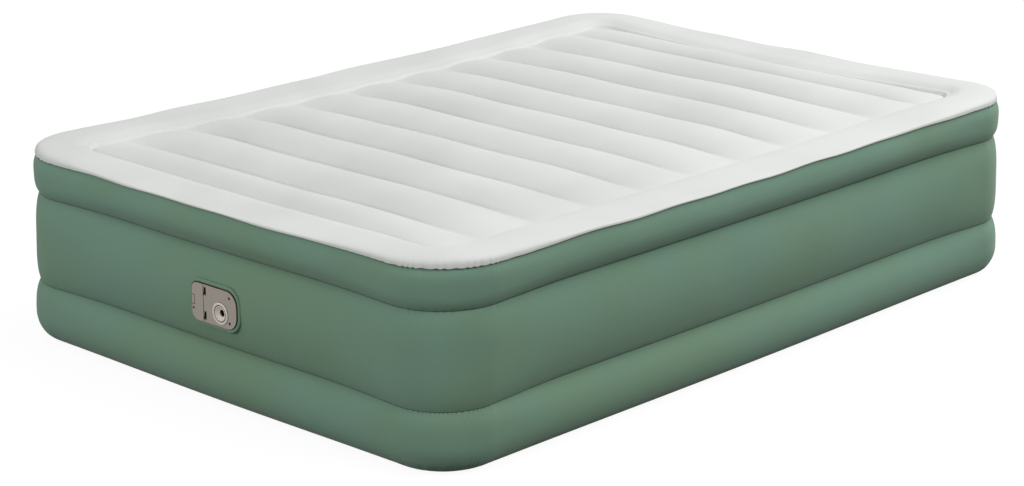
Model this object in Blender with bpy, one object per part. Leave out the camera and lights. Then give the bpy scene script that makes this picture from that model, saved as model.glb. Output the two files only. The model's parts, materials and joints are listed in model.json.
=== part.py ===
"""Raised air mattress with a built-in mains pump, inflated and at rest.

Metres, +Z up. The origin is on the floor under the middle of the mattress, X runs across the
width and Y along the length, with the pump in the -Y end. Every piece is one named object.
"""

import math

import bmesh
import bpy
import numpy as np

# Envelope: outside size and the heights of its seams
LENGTH = 2.030
WIDTH = 1.410
LOWER_GROOVE_Z = 0.1345
UPPER_GROOVE_Z = 0.3425
TOP_SEAM_Z = 0.4325
RIM_CREST_Z = 0.4365
CORNER_LIFT = 0.030
SHEET = 0.002
CLEARANCE = 0.0003

# Envelope: how far each line lies inside or outside the side walls
SIDE_BOW = 0.006
BASE_FLARE = 0.0015
LOWER_GROOVE_DEPTH = 0.007
UPPER_GROOVE_DEPTH = 0.008
SEAM_INSET = 0.006
BASE_TUCK = 0.050
BASE_BULGE_Z = 0.065
TOP_CORNER_RADIUS = 0.165
BASE_CORNER_RADIUS = 0.141

# Sleeping surface: rim roll and transverse air channels
RIM_WIDTH = 0.1525
RIM_CREST_INSET = 0.096
PANEL_CORNER_RADIUS = 0.070
WELD_Z = 0.4235
CHANNEL_CREST_Z = 0.4455
CHANNEL_COUNT = 9
CHANNEL_PITCH = 0.167
CHANNEL_STEPS = 4
END_CHANNEL_STEPS = 2
WELD_DEPTH = 0.0030
WELD_SHARPNESS = 2.2
RIM_LIP = 0.0024
RIM_OUTER_ANGLES = (0, 30, 60, 90)
RIM_INNER_SHARES = (0.5, 0.82)
CHANNEL_SHARES = (-1.0, -0.86, -0.6, 0.0, 0.6, 0.86, 1.0)
END_TAPER = 6.0

# Inner webs
BEAM_END_GAP = 0.060
BEAM_FLANGE = 0.018
VENT_RADIUS = 0.045
BEAM_VENTS = 3
VENT_SIDES = 8

# Facets of the plan outline
CORNER_STEPS = 6
LONG_SIDE_STEPS = 4
SHORT_SIDE_STEPS = 5
ROUND_STEPS = 24
PIN_STEPS = 10

# Pump panel in the -Y end: x and z of its middle, outline and layers, front to back
PUMP_X = 0.030
PUMP_Z = 0.231
PANEL_WIDTH = 0.141
PANEL_HEIGHT = 0.083
PANEL_LEFT_RADIUS = 0.018
PANEL_RIGHT_RADIUS = 0.030
PANEL_PROUD = 0.0035
PLATE_THICKNESS = 0.0045
COLLAR_WIDTH = 0.009
COLLAR_PROUD = 0.0015
COLLAR_DEPTH = 0.0085
COLLAR_LEDGE = 0.005
PANEL_GAP = 0.0004
GASKET_THICKNESS = 0.002
GASKET_WIDTH = 0.007
TUB_WALL = 0.002
TUB_INSET = 0.008
TUB_FLANGE = 0.0025
TUB_DEPTH = 0.1175

# Cord door, its hinge and latch
DOOR_THICKNESS = 0.0025
DOOR_GAP = 0.0006
HINGE_GAP = 0.0014
HINGE_INSET = 0.0395
HINGE_DEPTH = 0.0022
HINGE_REACH = 0.0036
PIN_RADIUS = 0.00075
BARREL_RADIUS = 0.0017
SLOT_HEIGHT = 0.0190
SLOT_CENTRE = 0.0269
SLOT_REACH = 0.0062
TONGUE_HEIGHT = 0.0150
LATCH_WIDTH = 0.0088
LATCH_HEIGHT = 0.0220
LATCH_Z = 0.002
LATCH_GAP = 0.0013
LATCH_DEPTH = 0.0085
LATCH_STEM = 0.0018
LATCH_TRAVEL = 0.0010
KEYHOLE_INSET = 0.0050
KEYHOLE_Z = -0.0170
KEYHOLE_SIZE = 0.0045
TRAY_INSET = 0.0110
TRAY_WIDTH = 0.0235
TRAY_HEIGHT = 0.060
TRAY_GAP = 0.0015
TRAY_WALL = 0.0016
GLAND_BORE = 0.0018
GLAND_NECK = 0.0050
GLAND_FLANGE = 0.0072
GLAND_LIP = 0.0020

# Selector dial and the rotary air valve behind it
DIAL_INSET = 0.0505
DIAL_Z = -0.012
BEZEL_RADIUS = 0.0245
BEZEL_PROUD = 0.0020
DIAL_RADIUS = 0.0172
DIAL_GAP = 0.0014
DIAL_DEPTH = 0.0080
PORT_RADIUS = 0.0080
PORT_DEPTH = 0.0046
DRUM_WALL = 0.0016
VALVE_GAP = 0.0062
SLEEVE_GAP = 0.0004
SLEEVE_WALL = 0.0018
SLEEVE_FLANGE = 0.0210
WINDOW_WIDTH = 0.0150
WINDOW_LENGTH = 0.0220
SEAL_THICKNESS = 0.0012
SPIGOT_SIZE = 0.0060
SPIGOT_LENGTH = 0.0080
SWITCH_DEPTH = 0.0110

# Fan, motor and check valve, with the motor shaft along X
FAN_BACK = 0.0305
FAN_INSET = 0.0185
FAN_WIDTH = 0.0240
FAN_WALL = 0.0020
SCROLL_START = 0.0240
SCROLL_END = 0.0290
NOZZLE_LOW = 0.0130
SCROLL_STEPS = 18
IMPELLER_RADIUS = 0.0205
IMPELLER_BLADES = 9
BLADE_HEIGHT = 0.0150
BLADE_THICKNESS = 0.0012
BLADE_SWEEP = math.radians(55)
BLADE_STEPS = 4
RUN_GAP = 0.0008
HUB_RADIUS = 0.0060
EYE_RADIUS = 0.0110
MOTOR_RADIUS = 0.0180
MOTOR_LENGTH = 0.0460
MOTOR_BOSS_RADIUS = 0.0075
MOTOR_BOSS_LENGTH = 0.0060
SHAFT_RADIUS = 0.0016
MOUNT_RADIUS = 0.0105
RIB_THICKNESS = 0.0040
RIB_HALF_HEIGHT = 0.0150
FLAP_THICKNESS = 0.0016
FLAP_MARGIN = 0.0030
FLAP_PIN_RADIUS = 0.0010
FLAP_KNUCKLE_RADIUS = 0.0024
LUG_WIDTH = 0.0030

# Panel screws
SCREW_INSET = 0.0215
SCREW_Z = 0.0275
SCREW_HEAD_RADIUS = 0.0028
SCREW_HEAD_DEPTH = 0.0015
SCREW_HEAD_HEIGHT = 0.0018
SCREW_SHANK_RADIUS = 0.0014
SCREW_LENGTH = 0.0180
BOSS_RADIUS = 0.0052
BOSS_LENGTH = 0.0160

# Values that follow from the driving dimensions
WALL_HALF_X = WIDTH / 2 - BASE_FLARE
WALL_HALF_Y = LENGTH / 2 - BASE_FLARE
WELD_HALF_X = WIDTH / 2 - RIM_WIDTH
WELD_HALF_Y = LENGTH / 2 - RIM_WIDTH
WEB_TOP_Z = WELD_Z - WELD_DEPTH
WEB_BASE_Z = SHEET + CLEARANCE
FACE_Y = -WALL_HALF_Y - PANEL_PROUD
HINGE_X = HINGE_INSET - PANEL_WIDTH / 2
KEYHOLE_X = KEYHOLE_INSET - PANEL_WIDTH / 2
TRAY_LEFT = TRAY_INSET - PANEL_WIDTH / 2
TRAY_RIGHT = TRAY_LEFT + TRAY_WIDTH
DIAL_X = PANEL_WIDTH / 2 - DIAL_INSET
SCREW_X = PANEL_WIDTH / 2 - SCREW_INSET
FAN_LEFT = FAN_INSET - PANEL_WIDTH / 2
FAN_DEPTH = TUB_DEPTH - FAN_BACK
TRAY_DEPTH = FAN_DEPTH - SCROLL_END - PLATE_THICKNESS - TRAY_GAP
SWITCH_FRONT = FAN_DEPTH - MOTOR_RADIUS - VALVE_GAP - SWITCH_DEPTH
DRUM_DEPTH = SWITCH_FRONT - SEAL_THICKNESS - 2 * CLEARANCE
SIDEWAYS = (0, 0, -math.pi / 2)


def linear(hex_colour):
    """The linear RGBA colour of an sRGB hex string."""
    channels = [int(hex_colour[i : i + 2], 16) / 255 for i in (0, 2, 4)]
    return [c / 12.92 if c <= 0.04045 else ((c + 0.055) / 1.055) ** 2.4 for c in channels] + [1.0]


def material(name, hex_colour, roughness, metallic=0.0):
    made = bpy.data.materials.new(name)
    made.use_nodes = True
    shader = made.node_tree.nodes["Principled BSDF"]
    shader.inputs["Base Color"].default_value = linear(hex_colour)
    shader.inputs["Roughness"].default_value = roughness
    shader.inputs["Metallic"].default_value = metallic
    return made


def clear_scene():
    for obj in list(bpy.data.objects):
        bpy.data.objects.remove(obj, do_unlink=True)


def make_materials():
    return {
        "white": material("white_flock", "E3E5E3", 0.9),
        "green": material("green_flock", "5F846D", 0.85),
        "base": material("base_vinyl", "4C5A52", 0.6),
        "web": material("web_vinyl", "C9CCC8", 0.5),
        "taupe": material("taupe_plastic", "A0978E", 0.5),
        "ring": material("pale_plastic", "DCD3C9", 0.4),
        "dark": material("dark_plastic", "24211F", 0.55),
        "rubber": material("black_rubber", "161616", 0.8),
        "steel": material("bright_steel", "B8BABC", 0.3, 1.0),
        "can": material("motor_steel", "8A8D90", 0.4, 1.0),
    }


def add_object(name, points, faces, surface, parent=None, location=(0, 0, 0), rotation=(0, 0, 0)):
    """A named mesh object with its faces turned outward; surface None makes it a hidden cutter."""
    mesh = bpy.data.meshes.new(name)
    mesh.from_pydata([tuple(p) for p in points], [], [tuple(f) for f in faces])
    work = bmesh.new()
    work.from_mesh(mesh)
    bmesh.ops.recalc_face_normals(work, faces=work.faces)
    work.to_mesh(mesh)
    work.free()
    mesh.shade_smooth()
    mesh.set_sharp_from_angle(angle=math.radians(40))
    obj = bpy.data.objects.new(name, mesh)
    bpy.context.scene.collection.objects.link(obj)
    obj.parent = parent
    obj.location = location
    obj.rotation_euler = rotation
    if surface is None:
        obj.hide_render = True
        obj.display_type = "WIRE"
    else:
        mesh.materials.append(surface)
    return obj


def boolean(obj, tool, operation="DIFFERENCE"):
    modifier = obj.modifiers.new(tool.name, "BOOLEAN")
    modifier.operation = operation
    modifier.object = tool
    modifier.solver = "EXACT"


def solidify(obj):
    """Gives an open surface its sheet thickness, on the inner side."""
    modifier = obj.modifiers.new("sheet", "SOLIDIFY")
    modifier.thickness = SHEET
    modifier.offset = -1.0
    modifier.use_even_offset = True
    modifier.use_quality_normals = True


def loft(loops, ring=False):
    """Points and faces of a skin over loops of equal length; a ring joins its last loop to its first."""
    count = len(loops[0])
    points = [tuple(p) for loop in loops for p in loop]
    faces = []
    steps = len(loops) if ring else len(loops) - 1
    for i in range(steps):
        low = i * count
        high = (i + 1) % len(loops) * count
        for j in range(count):
            k = (j + 1) % count
            faces.append((low + j, low + k, high + k, high + j))
    if not ring:
        faces.append(tuple(range(count)))
        faces.append(tuple(len(points) - count + j for j in range(count)))
    return points, faces


def corner_radius(z):
    """The plan's corner radius, tighter at the floor than at the upper groove and above it."""
    share = min(z / UPPER_GROOVE_Z, 1.0)
    return BASE_CORNER_RADIUS + (TOP_CORNER_RADIUS - BASE_CORNER_RADIUS) * share


def rounded_plan(half_x, half_y, radius, bow=0.0):
    """Points of a rounded rectangle, counter-clockwise, its sides bowed out to the half sizes."""
    centre = np.array([half_x - bow - radius, half_y - bow - radius])
    arcs = []
    for quarter in range(4):
        angles = math.pi / 2 * (quarter + np.linspace(0, 1, CORNER_STEPS + 1))
        turn = np.column_stack([np.cos(angles), np.sin(angles)])
        middle = math.pi / 2 * (quarter + 0.5)
        signs = np.sign([math.cos(middle), math.sin(middle)])
        arcs.append(centre * signs + radius * turn)
    points = []
    for quarter, arc in enumerate(arcs):
        points.extend(arc)
        steps = SHORT_SIDE_STEPS if quarter % 2 == 0 else LONG_SIDE_STEPS
        end = arcs[(quarter + 1) % 4][0]
        outward = np.array([(0, 1), (-1, 0), (0, -1), (1, 0)][quarter])
        for step in range(1, steps):
            share = step / steps
            points.append(arc[-1] + (end - arc[-1]) * share + outward * 4 * bow * share * (1 - share))
    return np.array(points)


def wall_plan(outset, z):
    """The envelope's outline at one height, moved out from the middle wall by outset."""
    radius = corner_radius(z) + outset
    return rounded_plan(WALL_HALF_X + outset, WALL_HALF_Y + outset, radius, SIDE_BOW)


def tier(low_z, high_z, low_depth, high_depth, rise=0.0):
    """Profile (outset, z) of one swollen wall tier, flat in the middle and drawn in at its seams."""
    middle = (low_z + high_z) / 2
    half = (high_z - low_z) / 2
    profile = []
    for angle in np.radians(np.arange(-90, 91, 30)):
        share = math.sin(angle)
        depth = low_depth if share < 0 else high_depth
        profile.append((rise - (depth + rise) * abs(share) ** 3, middle + half * share))
    return profile


def band(name, profile, surface):
    """A sheet wall that follows a profile all round the envelope."""
    points = []
    for outset, z in profile:
        points.extend((x, y, z) for x, y in wall_plan(outset, z))
    count = len(points) // len(profile)
    faces = []
    for row in range(len(profile) - 1):
        for j in range(count):
            k = (j + 1) % count
            low = row * count
            faces.append((low + j, low + k, low + count + k, low + count + j))
    obj = add_object(name, points, faces, surface)
    solidify(obj)
    return obj


def lower_profile():
    """From the floor edge, round under the bulge and up to the lower groove."""
    under = []
    for angle in np.radians(np.arange(90, 0, -18)):
        outset = BASE_FLARE - BASE_TUCK * (1 - math.cos(angle))
        under.append((outset, CLEARANCE + (BASE_BULGE_Z - CLEARANCE) * (1 - math.sin(angle))))
    seam = LOWER_GROOVE_Z - SHEET / 2 - CLEARANCE
    over = []
    for share in (0.0, 0.4, 0.75, 1.0):
        outset = BASE_FLARE - (LOWER_GROOVE_DEPTH + BASE_FLARE) * share**3
        over.append((outset, BASE_BULGE_Z + (seam - BASE_BULGE_Z) * share))
    return under + over


def make_walls(mats):
    fold = SHEET / 2 + CLEARANCE
    band("lower_wall", lower_profile(), mats["green"])
    middle = band(
        "middle_wall",
        tier(LOWER_GROOVE_Z + fold, UPPER_GROOVE_Z - fold, LOWER_GROOVE_DEPTH, UPPER_GROOVE_DEPTH),
        mats["green"],
    )
    band(
        "upper_wall",
        tier(UPPER_GROOVE_Z + fold, TOP_SEAM_Z, UPPER_GROOVE_DEPTH, SEAM_INSET),
        mats["green"],
    )
    return middle


def make_base(mats):
    inset = BASE_FLARE - BASE_TUCK - SHEET / 2 - CLEARANCE
    outline = wall_plan(inset, 0.0)
    points, faces = loft([[(x, y, z) for x, y in outline] for z in (0.0, SHEET)])
    add_object("base_sheet", points, faces, mats["base"])


def weld_height(share, crest):
    """Height over a weld of a sheet swollen to its crest; share runs from 0 at the crest to 1."""
    return WELD_Z + (crest - WELD_Z) * (1 - np.abs(share) ** WELD_SHARPNESS)


def rim_rows():
    """Rim roll as (outset, z, swell) rows: up from the top seam, over the crest, in toward the weld."""
    start = TOP_SEAM_Z + CLEARANCE
    crest = -RIM_CREST_INSET
    rows = [(-SEAM_INSET, start, 0.0)]
    lip = start + RIM_LIP
    for angle in np.radians(RIM_OUTER_ANGLES):
        outset = -SEAM_INSET + (crest + SEAM_INSET) * (1 - math.cos(angle))
        rows.append((outset, lip + (RIM_CREST_Z - lip) * math.sin(angle), math.sin(angle)))
    weld = BASE_FLARE - RIM_WIDTH
    for share in RIM_INNER_SHARES:
        z = float(weld_height(share, RIM_CREST_Z))
        rows.append((crest + (weld - crest) * share, z, 1 - share**WELD_SHARPNESS))
    return rows


def lifted(x, y, z, swell):
    """Raises the rim toward its four corners, where the roll is fullest."""
    share = abs(x * y) / (WALL_HALF_X * WALL_HALF_Y)
    return z + CORNER_LIFT * share**2 * swell


def rim_plan(outset):
    """The rim's outline: corners tighten and the bow fades from the wall in to the weld."""
    share = outset / (BASE_FLARE - RIM_WIDTH)
    radius = TOP_CORNER_RADIUS + (PANEL_CORNER_RADIUS - TOP_CORNER_RADIUS) * share
    return rounded_plan(WALL_HALF_X + outset, WALL_HALF_Y + outset, radius, SIDE_BOW * (1 - share))


def square_to_round(x, y):
    """Maps the square corners of the channel panel onto round ones."""
    u = max(abs(x) - WELD_HALF_X + PANEL_CORNER_RADIUS, 0) / PANEL_CORNER_RADIUS
    v = max(abs(y) - WELD_HALF_Y + PANEL_CORNER_RADIUS, 0) / PANEL_CORNER_RADIUS
    if u > 0:
        x = math.copysign(WELD_HALF_X - PANEL_CORNER_RADIUS * (1 - u * math.sqrt(1 - v * v / 2)), x)
    if v > 0:
        y = math.copysign(WELD_HALF_Y - PANEL_CORNER_RADIUS * (1 - v * math.sqrt(1 - u * u / 2)), y)
    return x, y


def channel_rows():
    """Stations (y, share across the channel) along the sleeping surface, end to end."""
    span = CHANNEL_COUNT * CHANNEL_PITCH / 2
    stations = []
    for step in range(END_CHANNEL_STEPS):
        share = step / END_CHANNEL_STEPS
        stations.append((-WELD_HALF_Y + (WELD_HALF_Y - span) * share, 2 * share - 1))
    for step in range(CHANNEL_COUNT * CHANNEL_STEPS):
        share = step % CHANNEL_STEPS / CHANNEL_STEPS
        stations.append((-span + step * CHANNEL_PITCH / CHANNEL_STEPS, 2 * share - 1))
    for step in range(END_CHANNEL_STEPS + 1):
        share = step / END_CHANNEL_STEPS
        stations.append((span + (WELD_HALF_Y - span) * share, 2 * share - 1))
    return stations


def zip_loops(outer, inner, points):
    """Triangles between two loops that both run round the middle of the mattress."""

    def turn(index):
        x, y, _ = points[index]
        return math.atan2(y / WALL_HALF_Y, x / WALL_HALF_X)

    loops = [sorted(loop, key=turn) for loop in (outer, inner)]
    turns = [[turn(i) for i in loop] + [turn(loop[0]) + 2 * math.pi] for loop in loops]
    at = [0, 0]
    faces = []
    while at[0] < len(outer) or at[1] < len(inner):
        ahead = [t[i + 1] if i + 1 < len(t) else math.inf for t, i in zip(turns, at)]
        side = 0 if ahead[0] <= ahead[1] else 1
        ends = [loop[i % len(loop)] for loop, i in zip(loops, at)]
        at[side] += 1
        faces.append((ends[0], loops[side][at[side] % len(loops[side])], ends[1]))
    return faces


def make_top(mats):
    """The white top: rim roll, rim weld and the transverse channels, as one sheet."""
    points = []
    faces = []
    rows = rim_rows()
    for outset, z, swell in rows:
        points.extend((x, y, lifted(x, y, z, swell)) for x, y in rim_plan(outset))
    count = len(points) // len(rows)
    for row in range(len(rows) - 1):
        for j in range(count):
            k = (j + 1) % count
            low = row * count
            faces.append((low + j, low + k, low + count + k, low + count + j))
    last_rim = list(range((len(rows) - 1) * count, len(rows) * count))
    stations = channel_rows()
    first = len(points)
    for y, across in stations:
        for along in CHANNEL_SHARES:
            swell = 1 - abs(along) ** END_TAPER
            crest = WELD_Z + (CHANNEL_CREST_Z - WELD_Z) * swell
            px, py = square_to_round(along * WELD_HALF_X, y)
            points.append((px, py, float(weld_height(across, crest))))
    width = len(CHANNEL_SHARES)
    for row in range(len(stations) - 1):
        for j in range(width - 1):
            low = first + row * width + j
            faces.append((low, low + 1, low + 1 + width, low + width))
    last = first + (len(stations) - 1) * width
    edge = set(range(first, first + width)) | set(range(last, last + width))
    for row in range(len(stations)):
        edge |= {first + row * width, first + row * width + width - 1}
    faces.extend(zip_loops(last_rim, list(edge), points))
    solidify(add_object("top_sheet", points, faces, mats["white"]))


def vent_cutter(name, centres, axis, reach):
    """Round air holes through a web, as one hidden cutter."""
    points = []
    faces = []
    for centre in centres:
        loops = []
        for side in (-reach, reach):
            loop = []
            for angle in np.arange(VENT_SIDES) * 2 * math.pi / VENT_SIDES:
                offset = [VENT_RADIUS * math.cos(angle), VENT_RADIUS * math.sin(angle)]
                offset.insert(axis, side)
                loop.append(np.array(centre) + offset)
            loops.append(loop)
        more_points, more_faces = loft(loops)
        faces.extend(tuple(len(points) + i for i in face) for face in more_faces)
        points.extend(more_points)
    return add_object(name, points, faces, None)


def make_beams(mats):
    """I-section webs that tie each transverse weld of the top down to the base sheet."""
    half = WELD_HALF_X - BEAM_END_GAP
    lip = BEAM_FLANGE / 2
    web = SHEET / 2
    section = [(-lip, WEB_BASE_Z), (lip, WEB_BASE_Z), (lip, WEB_BASE_Z + SHEET)]
    section += [(web, WEB_BASE_Z + SHEET), (web, WEB_TOP_Z - SHEET), (lip, WEB_TOP_Z - SHEET)]
    section += [(lip, WEB_TOP_Z), (-lip, WEB_TOP_Z), (-lip, WEB_TOP_Z - SHEET)]
    section += [(-web, WEB_TOP_Z - SHEET), (-web, WEB_BASE_Z + SHEET), (-lip, WEB_BASE_Z + SHEET)]
    middle = (WEB_BASE_Z + WEB_TOP_Z) / 2
    spots = [half * (2 * (i + 0.5) / BEAM_VENTS - 1) for i in range(BEAM_VENTS)]
    for number in range(CHANNEL_COUNT + 1):
        y = (number - CHANNEL_COUNT / 2) * CHANNEL_PITCH
        points, faces = loft([[(x, y + across, z) for across, z in section] for x in (-half, half)])
        beam = add_object(f"beam_{number + 1:02d}", points, faces, mats["web"])
        boolean(beam, vent_cutter(f"beam_{number + 1:02d}_vents", [(x, y, middle) for x in spots], 1, lip))


def make_curtain(mats):
    """The upright web under the rim weld, which parts the rim chamber from the channels."""
    half = SHEET / 2
    loops = []
    for grow, z in ((half, WEB_BASE_Z), (half, WEB_TOP_Z), (-half, WEB_TOP_Z), (-half, WEB_BASE_Z)):
        outline = rounded_plan(WELD_HALF_X + grow, WELD_HALF_Y + grow, PANEL_CORNER_RADIUS + grow)
        loops.append([(x, y, z) for x, y in outline])
    points, faces = loft(loops, ring=True)
    curtain = add_object("rim_curtain", points, faces, mats["web"])
    middle = (WEB_BASE_Z + WEB_TOP_Z) / 2
    sides = [(WELD_HALF_X, y, middle) for y in (-WELD_HALF_Y / 2, WELD_HALF_Y / 2)]
    boolean(curtain, vent_cutter("curtain_vents", sides, 0, 2 * SHEET))
    far = [(-x, y, z) for x, y, z in sides]
    boolean(curtain, vent_cutter("curtain_far_vents", far, 0, 2 * SHEET))


def make_belt(name, z, depth, mats):
    """A flat ring web that holds one side groove in by tying it to the rim curtain."""
    inner = SHEET / 2 + CLEARANCE
    loops = []
    for edge, height in ((0, -0.5), (0, 0.5), (1, 0.5), (1, -0.5)):
        if edge == 0:
            outline = wall_plan(-depth - CLEARANCE, z)
        else:
            outline = rounded_plan(WELD_HALF_X + inner, WELD_HALF_Y + inner, PANEL_CORNER_RADIUS + inner)
        loops.append([(x, y, z + height * SHEET) for x, y in outline])
    points, faces = loft(loops, ring=True)
    belt = add_object(name, points, faces, mats["base"])
    reach = (WELD_HALF_X + WALL_HALF_X - depth) / 2
    spots = [(side * reach, y, z) for side in (-1, 1) for y in (-WELD_HALF_Y / 2, WELD_HALF_Y / 2)]
    boolean(belt, vent_cutter(f"{name}_vents", spots, 2, 2 * SHEET))


def panel_outline(grow):
    """The pump panel's outline (x, z), moved out by grow, with tight left and round right corners."""
    half_x = PANEL_WIDTH / 2 + grow
    half_z = PANEL_HEIGHT / 2 + grow
    points = []
    for quarter in range(4):
        radius = (PANEL_RIGHT_RADIUS if quarter in (0, 3) else PANEL_LEFT_RADIUS) + grow
        middle = math.pi / 2 * (quarter + 0.5)
        centre_x = math.copysign(half_x - radius, math.cos(middle))
        centre_z = math.copysign(half_z - radius, math.sin(middle))
        for angle in math.pi / 2 * (quarter + np.linspace(0, 1, CORNER_STEPS + 1)):
            points.append((centre_x + radius * math.cos(angle), centre_z + radius * math.sin(angle)))
    return points


def circle(radius, steps=ROUND_STEPS):
    return [(radius * math.cos(a), radius * math.sin(a)) for a in np.arange(steps) * 2 * math.pi / steps]


def at_depth(outline, depth):
    return [(x, depth, z) for x, z in outline]


def layered(name, layers, surface, pump, ring=True, location=(0, 0, 0), rotation=(0, 0, 0)):
    """A piece lofted from (outline, depth) layers, in the order of its cross-section."""
    points, faces = loft([at_depth(outline, depth) for outline, depth in layers], ring)
    return add_object(name, points, faces, surface, pump, location, rotation)


def turned(name, profile, surface, pump, ring=True, location=(0, 0, 0), rotation=(0, 0, 0)):
    """A piece turned about its own Y axis from (radius, depth) corners."""
    layers = [(circle(radius), depth) for radius, depth in profile]
    return layered(name, layers, surface, pump, ring, location, rotation)


def block(name, xs, depths, zs, surface, pump):
    """A rectangular block between two values on each axis."""
    corners = [(xs[0], zs[0]), (xs[1], zs[0]), (xs[1], zs[1]), (xs[0], zs[1])]
    return layered(name, [(corners, depth) for depth in depths], surface, pump, ring=False)


def upright(name, radius, x, depth, zs, surface, pump):
    """A round bar along Z."""
    loops = [[(x + a, depth + b, z) for a, b in circle(radius, PIN_STEPS)] for z in zs]
    points, faces = loft(loops)
    return add_object(name, points, faces, surface, pump)


def make_collar(mats, pump, wall):
    """The soft green frame welded into the wall, and the hole that it fills."""
    front = PANEL_PROUD - COLLAR_PROUD
    ledge = PLATE_THICKNESS + CLEARANCE
    back = front + COLLAR_DEPTH
    outer = panel_outline(COLLAR_WIDTH)
    rebate = panel_outline(PANEL_GAP)
    window = panel_outline(-COLLAR_LEDGE)
    layers = [(outer, front), (rebate, front), (rebate, ledge)]
    layers += [(window, ledge), (window, back), (outer, back)]
    layered("pump_collar", layers, mats["green"], pump)
    hole = panel_outline(COLLAR_WIDTH + CLEARANCE)
    cutter = layered("wall_hole", [(hole, -back), (hole, 2 * back)], None, pump, ring=False)
    boolean(wall, cutter)
    return back


def make_gasket(mats, pump, front):
    outer = panel_outline(GASKET_WIDTH - TUB_INSET)
    inner = panel_outline(-TUB_INSET)
    back = front + GASKET_THICKNESS
    layers = [(outer, front), (inner, front), (inner, back), (outer, back)]
    layered("tub_gasket", layers, mats["rubber"], pump)
    return back


def screw_spots():
    return [(SCREW_X, SCREW_Z), (SCREW_X, -SCREW_Z)]


def make_tub(mats, pump, front):
    """The pump housing: a flanged tub with screw bosses, a motor rib and the air outlet."""
    rim = front + TUB_FLANGE
    flange = panel_outline(GASKET_WIDTH - TUB_INSET)
    inside = panel_outline(-TUB_INSET)
    outside = panel_outline(TUB_WALL - TUB_INSET)
    floor = TUB_DEPTH - TUB_WALL
    layers = [(inside, floor), (inside, front), (flange, front), (flange, rim)]
    layers += [(outside, rim), (outside, TUB_DEPTH)]
    tub = layered("pump_tub", layers, mats["dark"], pump, ring=False)
    for number, (x, z) in enumerate(screw_spots(), 1):
        spot = (x, 0, z)
        depths = (front + CLEARANCE, front + BOSS_LENGTH)
        profile = [(BOSS_RADIUS, depth) for depth in depths]
        boolean(tub, turned(f"boss_{number}", profile, None, pump, False, spot), "UNION")
        bore = SCREW_SHANK_RADIUS + CLEARANCE
        profile = [(bore, front - TUB_FLANGE), (bore, SCREW_HEAD_DEPTH + SCREW_LENGTH + CLEARANCE)]
        boolean(tub, turned(f"boss_{number}_bore", profile, None, pump, False, spot))
    rib = motor_right() + MOTOR_BOSS_LENGTH / 2
    xs = (rib - RIB_THICKNESS / 2, rib + RIB_THICKNESS / 2)
    depths = (FAN_DEPTH - RIB_HALF_HEIGHT, TUB_DEPTH - TUB_WALL / 2)
    zs = (-RIB_HALF_HEIGHT, RIB_HALF_HEIGHT)
    boolean(tub, block("motor_rib", xs, depths, zs, None, pump), "UNION")
    radius = MOUNT_RADIUS + CLEARANCE
    profile = [(radius, -RIB_THICKNESS), (radius, RIB_THICKNESS)]
    boolean(tub, turned("rib_bore", profile, None, pump, False, (rib, FAN_DEPTH, 0), SIDEWAYS))
    gap = CLEARANCE
    xs = (FAN_LEFT - gap, FAN_LEFT + FAN_WIDTH + gap)
    depths = (floor - TUB_WALL, TUB_DEPTH + TUB_WALL)
    zs = (NOZZLE_LOW - gap, SCROLL_END + gap)
    boolean(tub, block("outlet_hole", xs, depths, zs, None, pump))
    return tub


def door_edge():
    return HINGE_X - HINGE_REACH


def tongue_spans():
    """The (low, high) z of the door's two hinge tongues."""
    half = TONGUE_HEIGHT / 2
    return [(side * SLOT_CENTRE - half, side * SLOT_CENTRE + half) for side in (-1, 1)]


def make_face_plate(mats, pump):
    """The panel's plate: a ledge for the cord door, hinge slots, dial hole and screw seats."""
    outline = panel_outline(0.0)
    layers = [(outline, 0.0), (outline, PLATE_THICKNESS)]
    plate = layered("face_plate", layers, mats["taupe"], pump, ring=False)
    beyond = PANEL_WIDTH
    ledge = DOOR_THICKNESS + CLEARANCE
    near = (-beyond, door_edge() + HINGE_GAP)
    recess = block("door_recess", near, (-beyond, ledge), (-beyond, beyond), None, pump)
    boolean(plate, recess)
    for number, side in enumerate((-1, 1), 1):
        zs = (side * SLOT_CENTRE - SLOT_HEIGHT / 2, side * SLOT_CENTRE + SLOT_HEIGHT / 2)
        xs = (HINGE_X - BARREL_RADIUS - DOOR_GAP, HINGE_X + SLOT_REACH)
        boolean(plate, block(f"hinge_slot_{number}", xs, (-beyond, beyond), zs, None, pump))
        xs = (door_edge() - DOOR_GAP, HINGE_X + DOOR_GAP)
        boolean(plate, block(f"tongue_slot_{number}", xs, (-beyond, ledge), zs, None, pump))
    reach = SLOT_CENTRE + SLOT_HEIGHT / 2 + HINGE_REACH
    bore = PIN_RADIUS + CLEARANCE
    boolean(plate, upright("pin_bore", bore, HINGE_X, HINGE_DEPTH, (-reach, reach), None, pump))
    wall = TRAY_WALL
    xs = (TRAY_LEFT + wall, TRAY_RIGHT - wall)
    zs = (wall - TRAY_HEIGHT / 2, TRAY_HEIGHT / 2 - wall)
    boolean(plate, block("tray_mouth", xs, (-beyond, beyond), zs, None, pump))
    radius = DIAL_RADIUS + DIAL_GAP
    profile = [(radius, -beyond), (radius, beyond)]
    boolean(plate, turned("dial_hole", profile, None, pump, False, (DIAL_X, 0, DIAL_Z)))
    boolean(plate, latch_pocket("latch_pocket", pump))
    for number, (x, z) in enumerate(screw_spots(), 1):
        seat = SCREW_HEAD_DEPTH + SCREW_HEAD_HEIGHT + CLEARANCE
        head = SCREW_HEAD_RADIUS + CLEARANCE
        shank = SCREW_SHANK_RADIUS + CLEARANCE
        profile = [(head, -seat), (head, seat), (shank, seat), (shank, 2 * PLATE_THICKNESS)]
        boolean(plate, turned(f"screw_seat_{number}", profile, None, pump, False, (x, 0, z)))


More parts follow.
